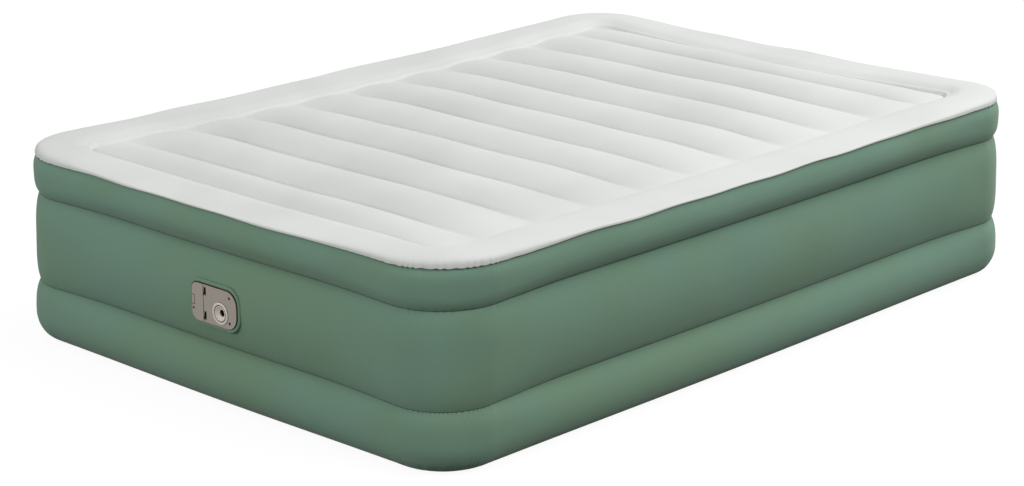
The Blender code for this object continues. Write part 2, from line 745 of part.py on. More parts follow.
def make_screws(mats, pump):
    for number, (x, z) in enumerate(screw_spots(), 1):
        under = SCREW_HEAD_DEPTH + SCREW_HEAD_HEIGHT
        tip = SCREW_HEAD_DEPTH + SCREW_LENGTH
        profile = [(SCREW_HEAD_RADIUS, SCREW_HEAD_DEPTH), (SCREW_HEAD_RADIUS, under)]
        profile += [(SCREW_SHANK_RADIUS, under), (SCREW_SHANK_RADIUS, tip)]
        turned(f"panel_screw_{number}", profile, mats["dark"], pump, False, (x, 0, z))


def make_tray(mats, pump):
    """The cord compartment behind the door, and the gland in its back wall."""
    front = PLATE_THICKNESS + CLEARANCE
    back = front + TRAY_DEPTH
    half = TRAY_HEIGHT / 2
    tray = block("cord_tray", (TRAY_LEFT, TRAY_RIGHT), (front, back), (-half, half), mats["dark"], pump)
    xs = (TRAY_LEFT + TRAY_WALL, TRAY_RIGHT - TRAY_WALL)
    zs = (TRAY_WALL - half, half - TRAY_WALL)
    boolean(tray, block("tray_inside", xs, (front - TRAY_WALL, back - TRAY_WALL), zs, None, pump))
    spot = ((TRAY_LEFT + TRAY_RIGHT) / 2, back - TRAY_WALL, 0)
    hole = GLAND_NECK + CLEARANCE
    profile = [(hole, -TRAY_WALL), (hole, 2 * TRAY_WALL)]
    boolean(tray, turned("gland_hole", profile, None, pump, False, spot))
    near = -CLEARANCE
    far = TRAY_WALL + CLEARANCE
    profile = [(GLAND_BORE, near - GLAND_LIP), (GLAND_FLANGE, near - GLAND_LIP), (GLAND_FLANGE, near)]
    profile += [(GLAND_NECK, near), (GLAND_NECK, far), (GLAND_FLANGE, far)]
    profile += [(GLAND_FLANGE, far + GLAND_LIP), (GLAND_BORE, far + GLAND_LIP)]
    turned("cord_gland", profile, mats["rubber"], pump, True, spot)


def make_door(mats, pump):
    """The cord door, hung on its hinge axis, with two tongues, a latch notch and a square hole."""
    edge = door_edge()
    left = -PANEL_WIDTH / 2
    latch_low = LATCH_Z - LATCH_HEIGHT / 2
    latch_high = LATCH_Z + LATCH_HEIGHT / 2
    outline = panel_outline(0.0)
    turn = CORNER_STEPS + 1
    points = [(edge, PANEL_HEIGHT / 2)] + outline[turn : 2 * turn]
    points += [(left, latch_high), (left + LATCH_WIDTH, latch_high)]
    points += [(left + LATCH_WIDTH, latch_low), (left, latch_low)]
    points += outline[2 * turn : 3 * turn] + [(edge, -PANEL_HEIGHT / 2)]
    moved = [(x - HINGE_X, z) for x, z in points]
    hinge = (HINGE_X, HINGE_DEPTH, 0)
    layers = [(moved, -HINGE_DEPTH), (moved, DOOR_THICKNESS - HINGE_DEPTH)]
    door = layered("cord_door", layers, mats["taupe"], pump, False, hinge)
    half = KEYHOLE_SIZE / 2
    xs = (KEYHOLE_X - half, KEYHOLE_X + half)
    zs = (KEYHOLE_Z - half, KEYHOLE_Z + half)
    boolean(door, block("keyhole", xs, (-PANEL_WIDTH, PANEL_WIDTH), zs, None, pump))
    for number, zs in enumerate(tongue_spans(), 1):
        xs = (edge - HINGE_REACH, HINGE_X)
        depths = (HINGE_DEPTH - BARREL_RADIUS + CLEARANCE, DOOR_THICKNESS - CLEARANCE)
        boolean(door, block(f"tongue_{number}", xs, depths, zs, None, pump), "UNION")
        barrel = upright(f"barrel_{number}", BARREL_RADIUS, HINGE_X, HINGE_DEPTH, zs, None, pump)
        boolean(door, barrel, "UNION")
    reach = SLOT_CENTRE + SLOT_HEIGHT
    bore = PIN_RADIUS + CLEARANCE
    boolean(door, upright("barrel_bore", bore, HINGE_X, HINGE_DEPTH, (-reach, reach), None, pump))
    end = SLOT_CENTRE + SLOT_HEIGHT / 2 + HINGE_REACH - CLEARANCE
    upright("door_pin", PIN_RADIUS, HINGE_X, HINGE_DEPTH, (-end, end), mats["steel"], pump)


def latch_stem():
    """The (left, right) x of the latch's stem."""
    right = LATCH_WIDTH - LATCH_GAP - PANEL_WIDTH / 2
    return right - LATCH_STEM, right


def latch_pocket(name, pump):
    """The slot in the plate that the latch's stem slides in and swings out of."""
    left, right = latch_stem()
    xs = (left - LATCH_TRAVEL, right + LATCH_TRAVEL + DOOR_GAP)
    half = LATCH_HEIGHT / 4 + DOOR_GAP
    return block(name, xs, (-PANEL_WIDTH, PANEL_WIDTH), (LATCH_Z - half, LATCH_Z + half), None, pump)


def make_latch(mats, pump):
    """The finger latch in the door's notch: a cap, two guide wings and a stem."""
    left = -PANEL_WIDTH / 2
    right = left + LATCH_WIDTH - LATCH_GAP
    half = LATCH_HEIGHT / 2 - LATCH_GAP
    foot = DOOR_THICKNESS - CLEARANCE
    ends = (LATCH_Z - half, LATCH_Z + half)
    latch = block("door_latch", (left, right), (0.0, foot), ends, mats["taupe"], pump)
    wing = LATCH_HEIGHT / 2 - CLEARANCE
    zs = (LATCH_Z - wing, LATCH_Z + wing)
    xs = (left + CLEARANCE, right - CLEARANCE)
    boolean(latch, block("latch_wings", xs, (foot / 2, foot - CLEARANCE), zs, None, pump), "UNION")
    xs = latch_stem()
    zs = (LATCH_Z - LATCH_HEIGHT / 4, LATCH_Z + LATCH_HEIGHT / 4)
    span = (xs[0], xs[1] - CLEARANCE)
    boolean(latch, block("latch_stem", span, (foot / 2, LATCH_DEPTH), zs, None, pump), "UNION")


def make_dial(mats, pump):
    """Bezel ring, and the selector dial with its funnel down to the air port."""
    spot = (DIAL_X, 0, DIAL_Z)
    inner = DIAL_RADIUS + DIAL_GAP
    soft = BEZEL_PROUD / 2
    profile = [(inner, -CLEARANCE), (inner, -soft), (inner + soft, -BEZEL_PROUD)]
    profile += [(BEZEL_RADIUS - 2 * soft, -BEZEL_PROUD), (BEZEL_RADIUS, -soft), (BEZEL_RADIUS, -CLEARANCE)]
    turned("dial_bezel", profile, mats["ring"], pump, True, spot)
    rim = DIAL_RADIUS
    lip = BEZEL_PROUD * 3 / 4
    funnel = DIAL_RADIUS - 3 * lip
    slope = (PORT_RADIUS + funnel) / 2
    profile = [(rim, DIAL_DEPTH), (rim, -lip / 2), (rim - lip / 2, -lip), (rim - 1.5 * lip, -lip)]
    profile += [(funnel, lip), (slope, PORT_DEPTH * 0.8)]
    profile += [(PORT_RADIUS, PORT_DEPTH), (PORT_RADIUS, DIAL_DEPTH)]
    turned("selector_dial", profile, mats["ring"], pump, True, spot)


def make_valve(mats, pump):
    """Rotary air valve: a windowed drum behind the dial, its sleeve, seal and switch."""
    spot = (DIAL_X, 0, DIAL_Z)
    front = DIAL_DEPTH + CLEARANCE
    bore = DIAL_RADIUS - DRUM_WALL
    profile = [(DIAL_RADIUS, DRUM_DEPTH), (DIAL_RADIUS, front), (PORT_RADIUS, front)]
    profile += [(PORT_RADIUS, front + DRUM_WALL), (bore, front + DRUM_WALL), (bore, DRUM_DEPTH - DRUM_WALL)]
    drum = turned("diverter_drum", profile, mats["dark"], pump, False, spot)
    middle = (front + DRUM_DEPTH) / 2
    depths = (middle - WINDOW_LENGTH / 2, middle + WINDOW_LENGTH / 2)
    zs = (DIAL_Z - WINDOW_WIDTH / 2, DIAL_Z + WINDOW_WIDTH / 2)
    reach = (DIAL_X, DIAL_X + BEZEL_RADIUS)
    boolean(drum, block("drum_window", reach, depths, zs, None, pump))
    half = SPIGOT_SIZE / 2
    xs = (DIAL_X - half, DIAL_X + half)
    zs = (DIAL_Z - half, DIAL_Z + half)
    tail = (DRUM_DEPTH - DRUM_WALL / 2, DRUM_DEPTH + SPIGOT_LENGTH)
    boolean(drum, block("drum_spigot", xs, tail, zs, None, pump), "UNION")
    inner = DIAL_RADIUS + SLEEVE_GAP
    outer = inner + SLEEVE_WALL
    top = PLATE_THICKNESS + CLEARANCE
    seal = DRUM_DEPTH + CLEARANCE
    end = SWITCH_FRONT + SWITCH_DEPTH
    profile = [(inner, top), (SLEEVE_FLANGE, top), (SLEEVE_FLANGE, top + SLEEVE_WALL)]
    profile += [(outer, top + SLEEVE_WALL), (outer, end), (inner, end)]
    sleeve = turned("valve_sleeve", profile, mats["dark"], pump, True, spot)
    zs = (DIAL_Z - WINDOW_WIDTH / 2, DIAL_Z + WINDOW_WIDTH / 2)
    boolean(sleeve, block("sleeve_window", reach, depths, zs, None, pump))
    hole = SPIGOT_SIZE * 0.75
    behind = SWITCH_FRONT - CLEARANCE
    profile = [(hole, seal), (DIAL_RADIUS, seal), (DIAL_RADIUS, behind), (hole, behind)]
    turned("drum_seal", profile, mats["rubber"], pump, True, spot)
    profile = [(hole, SWITCH_FRONT), (DIAL_RADIUS, SWITCH_FRONT), (DIAL_RADIUS, end), (hole, end)]
    turned("rotary_switch", profile, mats["dark"], pump, True, spot)


def motor_left():
    return FAN_LEFT + FAN_WIDTH + CLEARANCE


def motor_right():
    return motor_left() + MOTOR_BOSS_LENGTH + MOTOR_LENGTH


def scroll_outline(inset):
    """Outline (depth, z) of the fan casing: a widening scroll that runs out into its nozzle."""
    low = NOZZLE_LOW + inset
    start = SCROLL_START - inset
    end = SCROLL_END - inset
    first = math.asin(low / start)
    points = []
    for share in np.linspace(0, 1, SCROLL_STEPS + 1):
        angle = first - share * (first + 1.5 * math.pi)
        radius = start + (end - start) * share
        points.append((FAN_DEPTH + radius * math.cos(angle), radius * math.sin(angle)))
    return points + [(TUB_DEPTH, end), (TUB_DEPTH, low)]


def make_fan(mats, pump):
    """Fan casing and cover; the casing is open to the cover, the nozzle to the air chamber."""
    outer = scroll_outline(0.0)
    inner = scroll_outline(FAN_WALL)
    right = FAN_LEFT + FAN_WIDTH
    opened = FAN_LEFT + FAN_WALL + CLEARANCE
    loops = [[(x, d, z) for d, z in line] for line, x in ((outer, right), (outer, opened))]
    loops += [[(x, d, z) for d, z in line] for line, x in ((inner, opened), (inner, right - FAN_WALL))]
    points, faces = loft(loops)
    volute = add_object("fan_volute", points, faces, mats["dark"], pump)
    depths = (TUB_DEPTH - 2 * FAN_WALL, TUB_DEPTH + FAN_WALL)
    zs = (NOZZLE_LOW + FAN_WALL, SCROLL_END - FAN_WALL)
    boolean(volute, block("nozzle_mouth", (FAN_LEFT, right - FAN_WALL), depths, zs, None, pump))
    hub = (right, FAN_DEPTH, 0)
    hole = 2 * SHAFT_RADIUS
    profile = [(hole, -2 * FAN_WALL), (hole, FAN_WALL)]
    boolean(volute, turned("shaft_hole", profile, None, pump, False, hub, SIDEWAYS))
    points, faces = loft([[(x, d, z) for d, z in outer] for x in (FAN_LEFT, FAN_LEFT + FAN_WALL)])
    cover = add_object("fan_cover", points, faces, mats["dark"], pump)
    profile = [(EYE_RADIUS, -FAN_WALL), (EYE_RADIUS, 2 * FAN_WALL)]
    boolean(cover, turned("inlet_eye", profile, None, pump, False, (FAN_LEFT, FAN_DEPTH, 0), SIDEWAYS))


def blade_outline(turn):
    """One backward-swept blade, seen along the shaft."""
    near = HUB_RADIUS - BLADE_THICKNESS / 2
    sides = []
    for side in (-1, 1):
        line = []
        for share in np.linspace(0, 1, BLADE_STEPS):
            radius = near + (IMPELLER_RADIUS - BLADE_THICKNESS / 4 - near) * share
            angle = turn + BLADE_SWEEP * share + side * BLADE_THICKNESS / 2 / radius
            line.append((radius * math.cos(angle), radius * math.sin(angle)))
        sides.append(line)
    return sides[0] + sides[1][::-1]


def make_rotor(mats, pump):
    """Impeller and motor shaft, which spin together, and the motor that carries them."""
    bore = SHAFT_RADIUS + CLEARANCE
    spot = (FAN_LEFT + FAN_WIDTH - FAN_WALL - RUN_GAP, FAN_DEPTH, 0)
    tip = -BLADE_THICKNESS - BLADE_HEIGHT
    profile = [(bore, 0), (IMPELLER_RADIUS, 0), (IMPELLER_RADIUS, -BLADE_THICKNESS)]
    profile += [(HUB_RADIUS, -BLADE_THICKNESS), (HUB_RADIUS, tip), (bore, tip)]
    impeller = turned("impeller", profile, mats["web"], pump, True, spot, SIDEWAYS)
    points = []
    faces = []
    for number in range(IMPELLER_BLADES):
        outline = blade_outline(2 * math.pi * number / IMPELLER_BLADES)
        depths = (-BLADE_THICKNESS / 2, tip + BLADE_THICKNESS)
        more_points, more_faces = loft([at_depth(outline, depth) for depth in depths])
        faces.extend(tuple(len(points) + i for i in face) for face in more_faces)
        points.extend(more_points)
    blades = add_object("impeller_blades", points, faces, None, pump, spot, SIDEWAYS)
    boolean(impeller, blades, "UNION")
    start = (motor_left(), FAN_DEPTH, 0)
    can = MOTOR_BOSS_LENGTH + MOTOR_LENGTH
    end = can + MOTOR_BOSS_LENGTH
    soft = MOTOR_RADIUS - FAN_WALL
    profile = [(bore, 0), (MOTOR_BOSS_RADIUS, 0), (MOTOR_BOSS_RADIUS, MOTOR_BOSS_LENGTH)]
    profile += [(soft, MOTOR_BOSS_LENGTH), (MOTOR_RADIUS, MOTOR_BOSS_LENGTH + FAN_WALL)]
    profile += [(MOTOR_RADIUS, can - FAN_WALL), (soft, can), (MOTOR_BOSS_RADIUS, can)]
    profile += [(MOTOR_BOSS_RADIUS, end), (bore, end)]
    turned("motor_can", profile, mats["can"], pump, True, start, SIDEWAYS)
    reach = spot[0] + tip - start[0] - FAN_WALL
    profile = [(SHAFT_RADIUS, reach), (SHAFT_RADIUS, end + FAN_WALL)]
    turned("motor_shaft", profile, mats["steel"], pump, False, start, SIDEWAYS)
    half = RIB_THICKNESS / 2 + CLEARANCE
    inner = MOTOR_BOSS_RADIUS + CLEARANCE
    profile = [(inner, -half), (MOUNT_RADIUS, -half), (MOUNT_RADIUS, half), (inner, half)]
    middle = (motor_right() + MOTOR_BOSS_LENGTH / 2, FAN_DEPTH, 0)
    turned("motor_mount", profile, mats["rubber"], pump, True, middle, SIDEWAYS)


def flap_hinge():
    """The (depth, z) of the check flap's hinge axis."""
    return TUB_DEPTH + CLEARANCE + FLAP_KNUCKLE_RADIUS, SCROLL_END + FLAP_MARGIN


def flap_sides():
    return FAN_LEFT - FLAP_MARGIN, FAN_LEFT + FAN_WIDTH + FLAP_MARGIN


def make_flap(mats, pump, tub):
    """The check flap over the air outlet, hung on a pin between two lugs of the tub."""
    depth, top = flap_hinge()
    left, right = flap_sides()
    plate = (TUB_DEPTH + CLEARANCE, TUB_DEPTH + CLEARANCE + FLAP_THICKNESS)
    bore = FLAP_PIN_RADIUS + CLEARANCE
    for number, inner, outer in ((1, left, left - LUG_WIDTH), (2, right, right + LUG_WIDTH)):
        gap = math.copysign(DOOR_GAP, outer - inner)
        xs = sorted((inner + gap, outer + gap))
        zs = (top - FLAP_KNUCKLE_RADIUS, top + FLAP_KNUCKLE_RADIUS)
        depths = (TUB_DEPTH - TUB_WALL / 2, depth + FLAP_KNUCKLE_RADIUS)
        boolean(tub, block(f"flap_lug_{number}", xs, depths, zs, None, pump), "UNION")
    span = right - left + 2 * (LUG_WIDTH + DOOR_GAP)
    middle = ((left + right) / 2, depth, top)
    profile = [(bore, -span), (bore, span)]
    hole = turned("flap_bore", profile, None, pump, False, middle, SIDEWAYS)
    boolean(tub, hole)
    half = (right - left) / 2
    profile = [(FLAP_KNUCKLE_RADIUS, -half), (FLAP_KNUCKLE_RADIUS, half)]
    flap = turned("check_flap", profile, mats["rubber"], pump, False, middle, SIDEWAYS)
    zs = (NOZZLE_LOW - FLAP_MARGIN, top)
    leaf = block("flap_leaf", (left + CLEARANCE, right - CLEARANCE), plate, zs, None, pump)
    boolean(flap, leaf, "UNION")
    boolean(flap, hole)
    profile = [(FLAP_PIN_RADIUS, -span / 2), (FLAP_PIN_RADIUS, span / 2)]
    turned("flap_pin", profile, mats["steel"], pump, False, middle, SIDEWAYS)


def make_pump(mats, wall):
    pump = bpy.data.objects.new("pump", None)
    bpy.context.scene.collection.objects.link(pump)
    pump.location = (PUMP_X, FACE_Y, PUMP_Z)
    collar_back = make_collar(mats, pump, wall)
    gasket_back = make_gasket(mats, pump, collar_back + CLEARANCE)
    tub = make_tub(mats, pump, gasket_back + CLEARANCE)
    make_face_plate(mats, pump)
    make_screws(mats, pump)
    make_tray(mats, pump)
    make_door(mats, pump)
    make_latch(mats, pump)
    make_dial(mats, pump)
    make_valve(mats, pump)
    make_fan(mats, pump)
    make_rotor(mats, pump)
    make_flap(mats, pump, tub)


def main():
    clear_scene()
    mats = make_materials()
    middle_wall = make_walls(mats)
    make_top(mats)
    make_base(mats)
    make_beams(mats)
    make_curtain(mats)
    make_belt("lower_belt", LOWER_GROOVE_Z, LOWER_GROOVE_DEPTH, mats)
    make_belt("upper_belt", UPPER_GROOVE_Z, UPPER_GROOVE_DEPTH, mats)
    make_pump(mats, middle_wall)


main()
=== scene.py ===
"""Looks of a raised air mattress: flocked skins, rim roll, transverse channels and pump panel."""
import json
from collections import namedtuple

import bpy
import numpy as np
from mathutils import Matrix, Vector

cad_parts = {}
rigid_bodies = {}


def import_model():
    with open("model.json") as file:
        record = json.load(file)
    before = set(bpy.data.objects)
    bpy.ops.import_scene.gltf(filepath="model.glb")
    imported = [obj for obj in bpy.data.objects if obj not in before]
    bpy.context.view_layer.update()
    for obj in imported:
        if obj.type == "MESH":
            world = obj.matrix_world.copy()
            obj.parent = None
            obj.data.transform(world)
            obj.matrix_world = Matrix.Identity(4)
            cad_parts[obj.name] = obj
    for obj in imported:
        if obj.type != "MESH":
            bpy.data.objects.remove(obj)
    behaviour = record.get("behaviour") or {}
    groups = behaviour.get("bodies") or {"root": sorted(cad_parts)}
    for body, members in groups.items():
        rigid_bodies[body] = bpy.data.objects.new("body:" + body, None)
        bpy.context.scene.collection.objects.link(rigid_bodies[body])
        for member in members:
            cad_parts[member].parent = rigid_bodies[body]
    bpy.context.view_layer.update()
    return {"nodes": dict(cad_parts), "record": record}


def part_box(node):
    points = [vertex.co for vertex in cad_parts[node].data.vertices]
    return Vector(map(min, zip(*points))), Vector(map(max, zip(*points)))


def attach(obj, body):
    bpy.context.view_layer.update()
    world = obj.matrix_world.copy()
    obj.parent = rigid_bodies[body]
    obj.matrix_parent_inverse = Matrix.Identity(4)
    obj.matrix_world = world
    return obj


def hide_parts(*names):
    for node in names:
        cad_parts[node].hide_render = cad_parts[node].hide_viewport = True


for leftover in list(bpy.data.objects):
    bpy.data.objects.remove(leftover)
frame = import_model()

bl_info = {
    "name": "Raised Air Mattress",
    "version": (1, 0, 0),
    "blender": (4, 5, 0),
    "location": "View3D > Sidebar > Mattress",
    "description": "Builds the flocked skins, pump panel and studio of a raised air mattress",
    "category": "Object",
}

TAU = 2.0 * np.pi
BEAMS = sorted(name for name in frame["nodes"] if name.startswith("beam_"))

# Folds that run out of a line at the corners: depth, reach and spacing in metres, and a random seed
Folds = namedtuple("Folds", "deep fade pitch seed")
SEAM_FOLDS = Folds(0.0030, 0.012, 0.019, 3)
ABOVE_HIGH_GROOVE = Folds(0.0016, 0.012, 0.024, 5)
BELOW_HIGH_GROOVE = Folds(0.0018, 0.014, 0.024, 5)
LOW_GROOVE_FOLDS = Folds(0.0018, 0.007, 0.011, 7)
FLOOR_FOLDS = Folds(0.0020, 0.012, 0.034, 9)
FLOOR_FOLD_HEIGHT = 0.012
FOLD_MIDDLE = 0.65
LOBE_MIDDLE = 0.6
SEAM_LOBE = 0.0013

# Slow unevenness of the skins round the edge: height in metres and a random seed
SEAM_WANDER, SEAM_SEED = 0.0014, 13
UPPER_SWELL, UPPER_SEED = 0.0010, 11
MIDDLE_SWELL, MIDDLE_SEED = 0.0012, 12
RIM_SWELL, RIM_SEED = 0.0010, 14

# Grooves and rows of the side walls
TIER_ROWS = 36
ROLL_ROWS = 16
RISE_ROWS = 22
TIER_GAP = 0.0016
HIGH_JAG = 0.0008
LOW_JAG = 0.0024
HIGH_BELT_PULL = 0.012
LOW_BELT_PULL = 0.013
SEAM_TUCK = 0.0045
GROOVE_ROLL, GROOVE_ROLL_FADE, GROOVE_ROLL_EASE = 0.008, 0.020, 0.6
CURL_IN, CURL_SHUT = 0.005, 0.0009
FLOOR_GAP = 0.0003
BELT_GAP = 0.006
CURTAIN_GAP = 0.0014

# Rim roll and rim weld of the white top
OUTER_ROWS = 17
INNER_ROWS = 25
LIP_ROWS = 4
SEAM_GAP = 0.0003
RIM_FOLD = 0.0014
WELD_WAVE = 0.004
WELD_LIFT = 0.65
WELD_STRETCH = 0.018
WELD_CREASE, WELD_CREASE_FADE = 0.0008, 0.0025
BEAD_RISE, BEAD_INSET, BEAD_HALF = 0.0022, 0.009, 0.005

# Air channels of the white top
PANEL_COLUMNS = 120
CHANNEL_ROWS = 25
END_CHANNEL_ROWS = 34
END_CHANNEL_SHARE = 0.72
CHANNEL_UNEVEN, CHANNEL_SEED = 0.035, 21
WAVE_FADE = 0.04
CHANNEL_FOLD, CHANNEL_FOLD_FADE = 0.0012, 0.05
CHANNEL_FOLD_PITCH, CHANNEL_FOLD_WANDER = 0.055, 0.21
WELD_PLACE = 0.999
AIR_FRAMES = 16
AIR_PRESSURE = 4.0
AIR_CAP = 0.006

# Pump panel and its collar, with the corner radii of the panel's left and right sides
OPENING_CORNER, OPENING_MARGIN = 0.024, 0.0045
PANEL_CORNERS = (0.018, 0.030)
COLLAR_ROWS, COLLAR_CORNER_STEPS = 18, 24
COLLAR_GAP = 0.0005
COLLAR_SINK, COLLAR_SWELL = 0.0045, 0.0050
# Painted shade reaches past the hinge pin and round the latch; front faces within the skin keep their colour
TONGUE_REACH = 0.0012
NOTCH_REACH, NOTCH_HALF = 0.003, 0.0125
FRONT_SKIN = 0.0003

# Studio: softboxes by name, place, target, width, height and power, then sky, floor and camera
SOFTBOXES = (
    ("key_softbox", (0.9, 5.6, 4.6), (0.0, 0.2, 0.4), 3.0, 3.0, 228.0),
    ("side_softbox", (4.6, 0.6, 4.3), (0.3, 0.0, 0.2), 2.6, 2.6, 124.0),
    ("end_softbox", (-0.4, -5.0, 2.0), (0.0, -0.6, 0.25), 2.8, 1.2, 62.0),
)
SKY_LIGHT = 0.42
STUDIO_FLOOR_HALF, STUDIO_FLOOR_GAP, STUDIO_FLOOR_GLOW = 30.0, 0.0005, 0.93
CAMERA_LENS, CAMERA_SENSOR = 95.44, 36.0
CAMERA_PLACE = (4.18756, -4.51601, 2.02624)
CAMERA_TARGET = (0.1478, -0.2317, 0.2192)


def linear(code):
    """Linear red, green, blue and alpha of an sRGB hex colour."""
    parts = np.array([int(code[i:i + 2], 16) for i in (1, 3, 5)]) / 255.0
    low = parts / 12.92
    high = ((parts + 0.055) / 1.055) ** 2.4
    return (*np.where(parts <= 0.04045, low, high).tolist(), 1.0)


def length(label, words, default):
    """A length that a user may change, in metres."""
    return bpy.props.FloatProperty(
        name=label, description=words, default=float(default), unit="LENGTH", precision=4
    )


def colour(label, words, code):
    """A colour that a user may change, given as sRGB hex."""
    return bpy.props.FloatVectorProperty(
        name=label, description=words, default=linear(code), size=4, subtype="COLOR", min=0.0, max=1.0
    )


class MattressSizes(bpy.types.PropertyGroup):
    """Sizes of the inflated envelope, taken from the solids where they carry them."""

    half_width: length("Half width", "From the middle to the swollen side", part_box("middle_wall")[1].x)
    half_length: length("Half length", "From the middle to the swollen end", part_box("middle_wall")[1].y)
    low_groove: length("Lower groove", "Height of the lower groove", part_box("middle_wall")[0].z)
    high_groove: length("Upper groove", "Height of the upper groove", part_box("upper_wall")[0].z)
    top_seam: length("Top seam", "Height of the seam of the white top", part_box("upper_wall")[1].z)
    weld_x: length("Weld half width", "Half width of the rim weld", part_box("rim_curtain")[1].x)
    weld_y: length("Weld half length", "Half length of the rim weld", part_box("rim_curtain")[1].y)
    weld_z: length("Weld height", "Height of the welds in the top", 0.4235)
    weld_corner: length("Weld corner", "Corner radius of the rim weld", 0.050)
    crest: length("Rim crest", "Height of the rim roll", 0.4365)
    channel: length("Channel crest", "Height of the air channels", 0.4520)
    crest_inset: length("Rim crest inset", "From the swollen side in to the rim's crest", 0.100)
    lip: length("Rim lip", "Upright edge of the white top over its seam", 0.0024)
    lift: length("Corner lift", "Rise of the rim at the corners", 0.030)
    base_corner: length("Base corner", "Plan radius of the corners at the floor", 0.141)
    top_corner: length("Top corner", "Plan radius of the corners at the top", 0.165)
    side_bow: length("Side bow", "How far the sides bow out between the corners", 0.006)
    flare: length("Base flare", "How far the lowest tier stands out", 0.0015)
    tuck: length("Base tuck", "How far the lowest tier rolls under", 0.050)
    belly: length("Base belly", "Height of the widest line of the lowest tier", 0.065)
    low_pinch: length("Lower pinch", "Depth of the lower groove", 0.0075)
    high_pinch: length("Upper pinch", "Depth of the upper groove", 0.0085)
    seam_pinch: length("Seam pinch", "Depth of the seam under the white top", 0.006)
    skin: length("Skin", "Thickness of the flocked sheet", 0.0016)


class MattressColours(bpy.types.PropertyGroup):
    """Colours of the skins and of the pump."""

    white: colour("White flock", "Flock of the sleeping top", "#E3E5E2")
    white_shade: colour("White flock shade", "Brushed patches of the sleeping top", "#DBDEDA")
    green: colour("Green flock", "Flock of the walls", "#7B9D8B")
    green_warm: colour("Green flock warm", "Brushed patches of the walls", "#7B9A81")
    base: colour("Base vinyl", "Bare vinyl of the floor sheet and the belts", "#4B5A50")
    web: colour("Web vinyl", "Bare vinyl of the inner webs, and the fan", "#C9CBC7")
    taupe: colour("Taupe", "Pump panel", "#ABA197")
    pale: colour("Pale ring", "Ring round the dial, and the dial", "#E8DFD5")
    dark: colour("Dark housing", "Pump housing and screws", "#2A2624")
    # Also put on the door's gap faces as painted shade.
    rubber: colour("Rubber", "Seals, flap and shaded gaps", "#161514")
    steel: colour("Steel", "Pins, shaft and motor", "#B9BBBD")


def add(tree, kind, settings=None, **inputs):
    """Add one node: settings are its attributes, inputs are values or sockets to link, by name or i0, i1."""
    node = tree.nodes.new(kind)
    for key, value in (settings or {}).items():
        setattr(node, key, value)
    for key, value in inputs.items():
        numbered = key[0] == "i" and key[1:].isdigit()
        place = node.inputs[int(key[1:]) if numbered else key.replace("_", " ")]
        if isinstance(value, bpy.types.NodeSocket):
            tree.links.new(value, place)
        else:
            place.default_value = value
    return node


def fresh_material(name):
    """Node material with no nodes, ready for a surface."""
    made = bpy.data.materials.new(name)
    made.use_nodes = True
    made.node_tree.nodes.clear()
    return made, made.node_tree


# Painted shade: ambient occlusion makes the colour darker in creases, grooves, slots and gaps.
def painted_crease_shade(tree, tone, reach, shut, clear, least):
    """Tone times the open air within reach: the least value in shut creases, rising to one in the clear."""
    air = add(tree, "ShaderNodeAmbientOcclusion", {"samples": 8}, Distance=reach)
    unshaded_share = add(
        tree, "ShaderNodeMapRange", Value=air.outputs["AO"], From_Min=shut, From_Max=clear, To_Min=least
    )
    shade_painted_tone = add(tree, "ShaderNodeMath", {"operation": "MULTIPLY"}, i0=tone, i1=unshaded_share.outputs["Result"])
    return shade_painted_tone.outputs[0]


def flocked_vinyl(name, main, shade, nap, crease):
    """Flocked vinyl: short fibres glued upright on sheet vinyl.

    The eye gets a dead-matt, velvety surface: no gloss, a soft glow at grazing angles, broad patches
    where the nap is brushed over and a fine grain. Creases, grooves and seams get painted shade: the
    colour is made darker where little open air lies within 30 mm, as far as the crease strength given.
    The fibres are 0.6 mm apart; they are drawn 3 mm apart, or the grain would not show.
    """
    made, tree = fresh_material(name)
    where = add(tree, "ShaderNodeTexCoord").outputs["Object"]
    patches = add(tree, "ShaderNodeTexNoise", Vector=where, Scale=1.0 / 0.28, Detail=2.0)
    spread = add(tree, "ShaderNodeMapRange", Value=patches.outputs["Fac"], From_Min=0.36, From_Max=0.64)
    grain = add(tree, "ShaderNodeTexNoise", Vector=where, Scale=1.0 / 0.003, Detail=3.0, Roughness=0.7)
    blend = add(
        tree, "ShaderNodeMix", {"data_type": "RGBA"}, Factor=spread.outputs["Result"], i6=main, i7=shade
    )
    tone = add(tree, "ShaderNodeMapRange", Value=grain.outputs["Fac"], To_Min=1.0 - nap, To_Max=1.0 + nap)
    # Painted shade: creases, grooves and seams are made darker by ambient occlusion within 30 mm.
    shade_painted_tone = painted_crease_shade(tree, tone.outputs["Result"], 0.030, 0.40, 0.92, 1.0 - crease)
    tinted = add(tree, "ShaderNodeHueSaturation", Color=blend.outputs[2], Value=shade_painted_tone)
    bump = add(tree, "ShaderNodeBump", Height=grain.outputs["Fac"], Strength=0.22, Distance=0.0012)
    skin = add(
        tree, "ShaderNodeBsdfPrincipled", Base_Color=tinted.outputs["Color"], Normal=bump.outputs["Normal"],
        Roughness=0.92, Sheen_Weight=0.18, Sheen_Roughness=0.45, Specular_IOR_Level=0.2, IOR=1.5,
    )
    add(tree, "ShaderNodeOutputMaterial", Surface=skin.outputs["BSDF"])
    return made


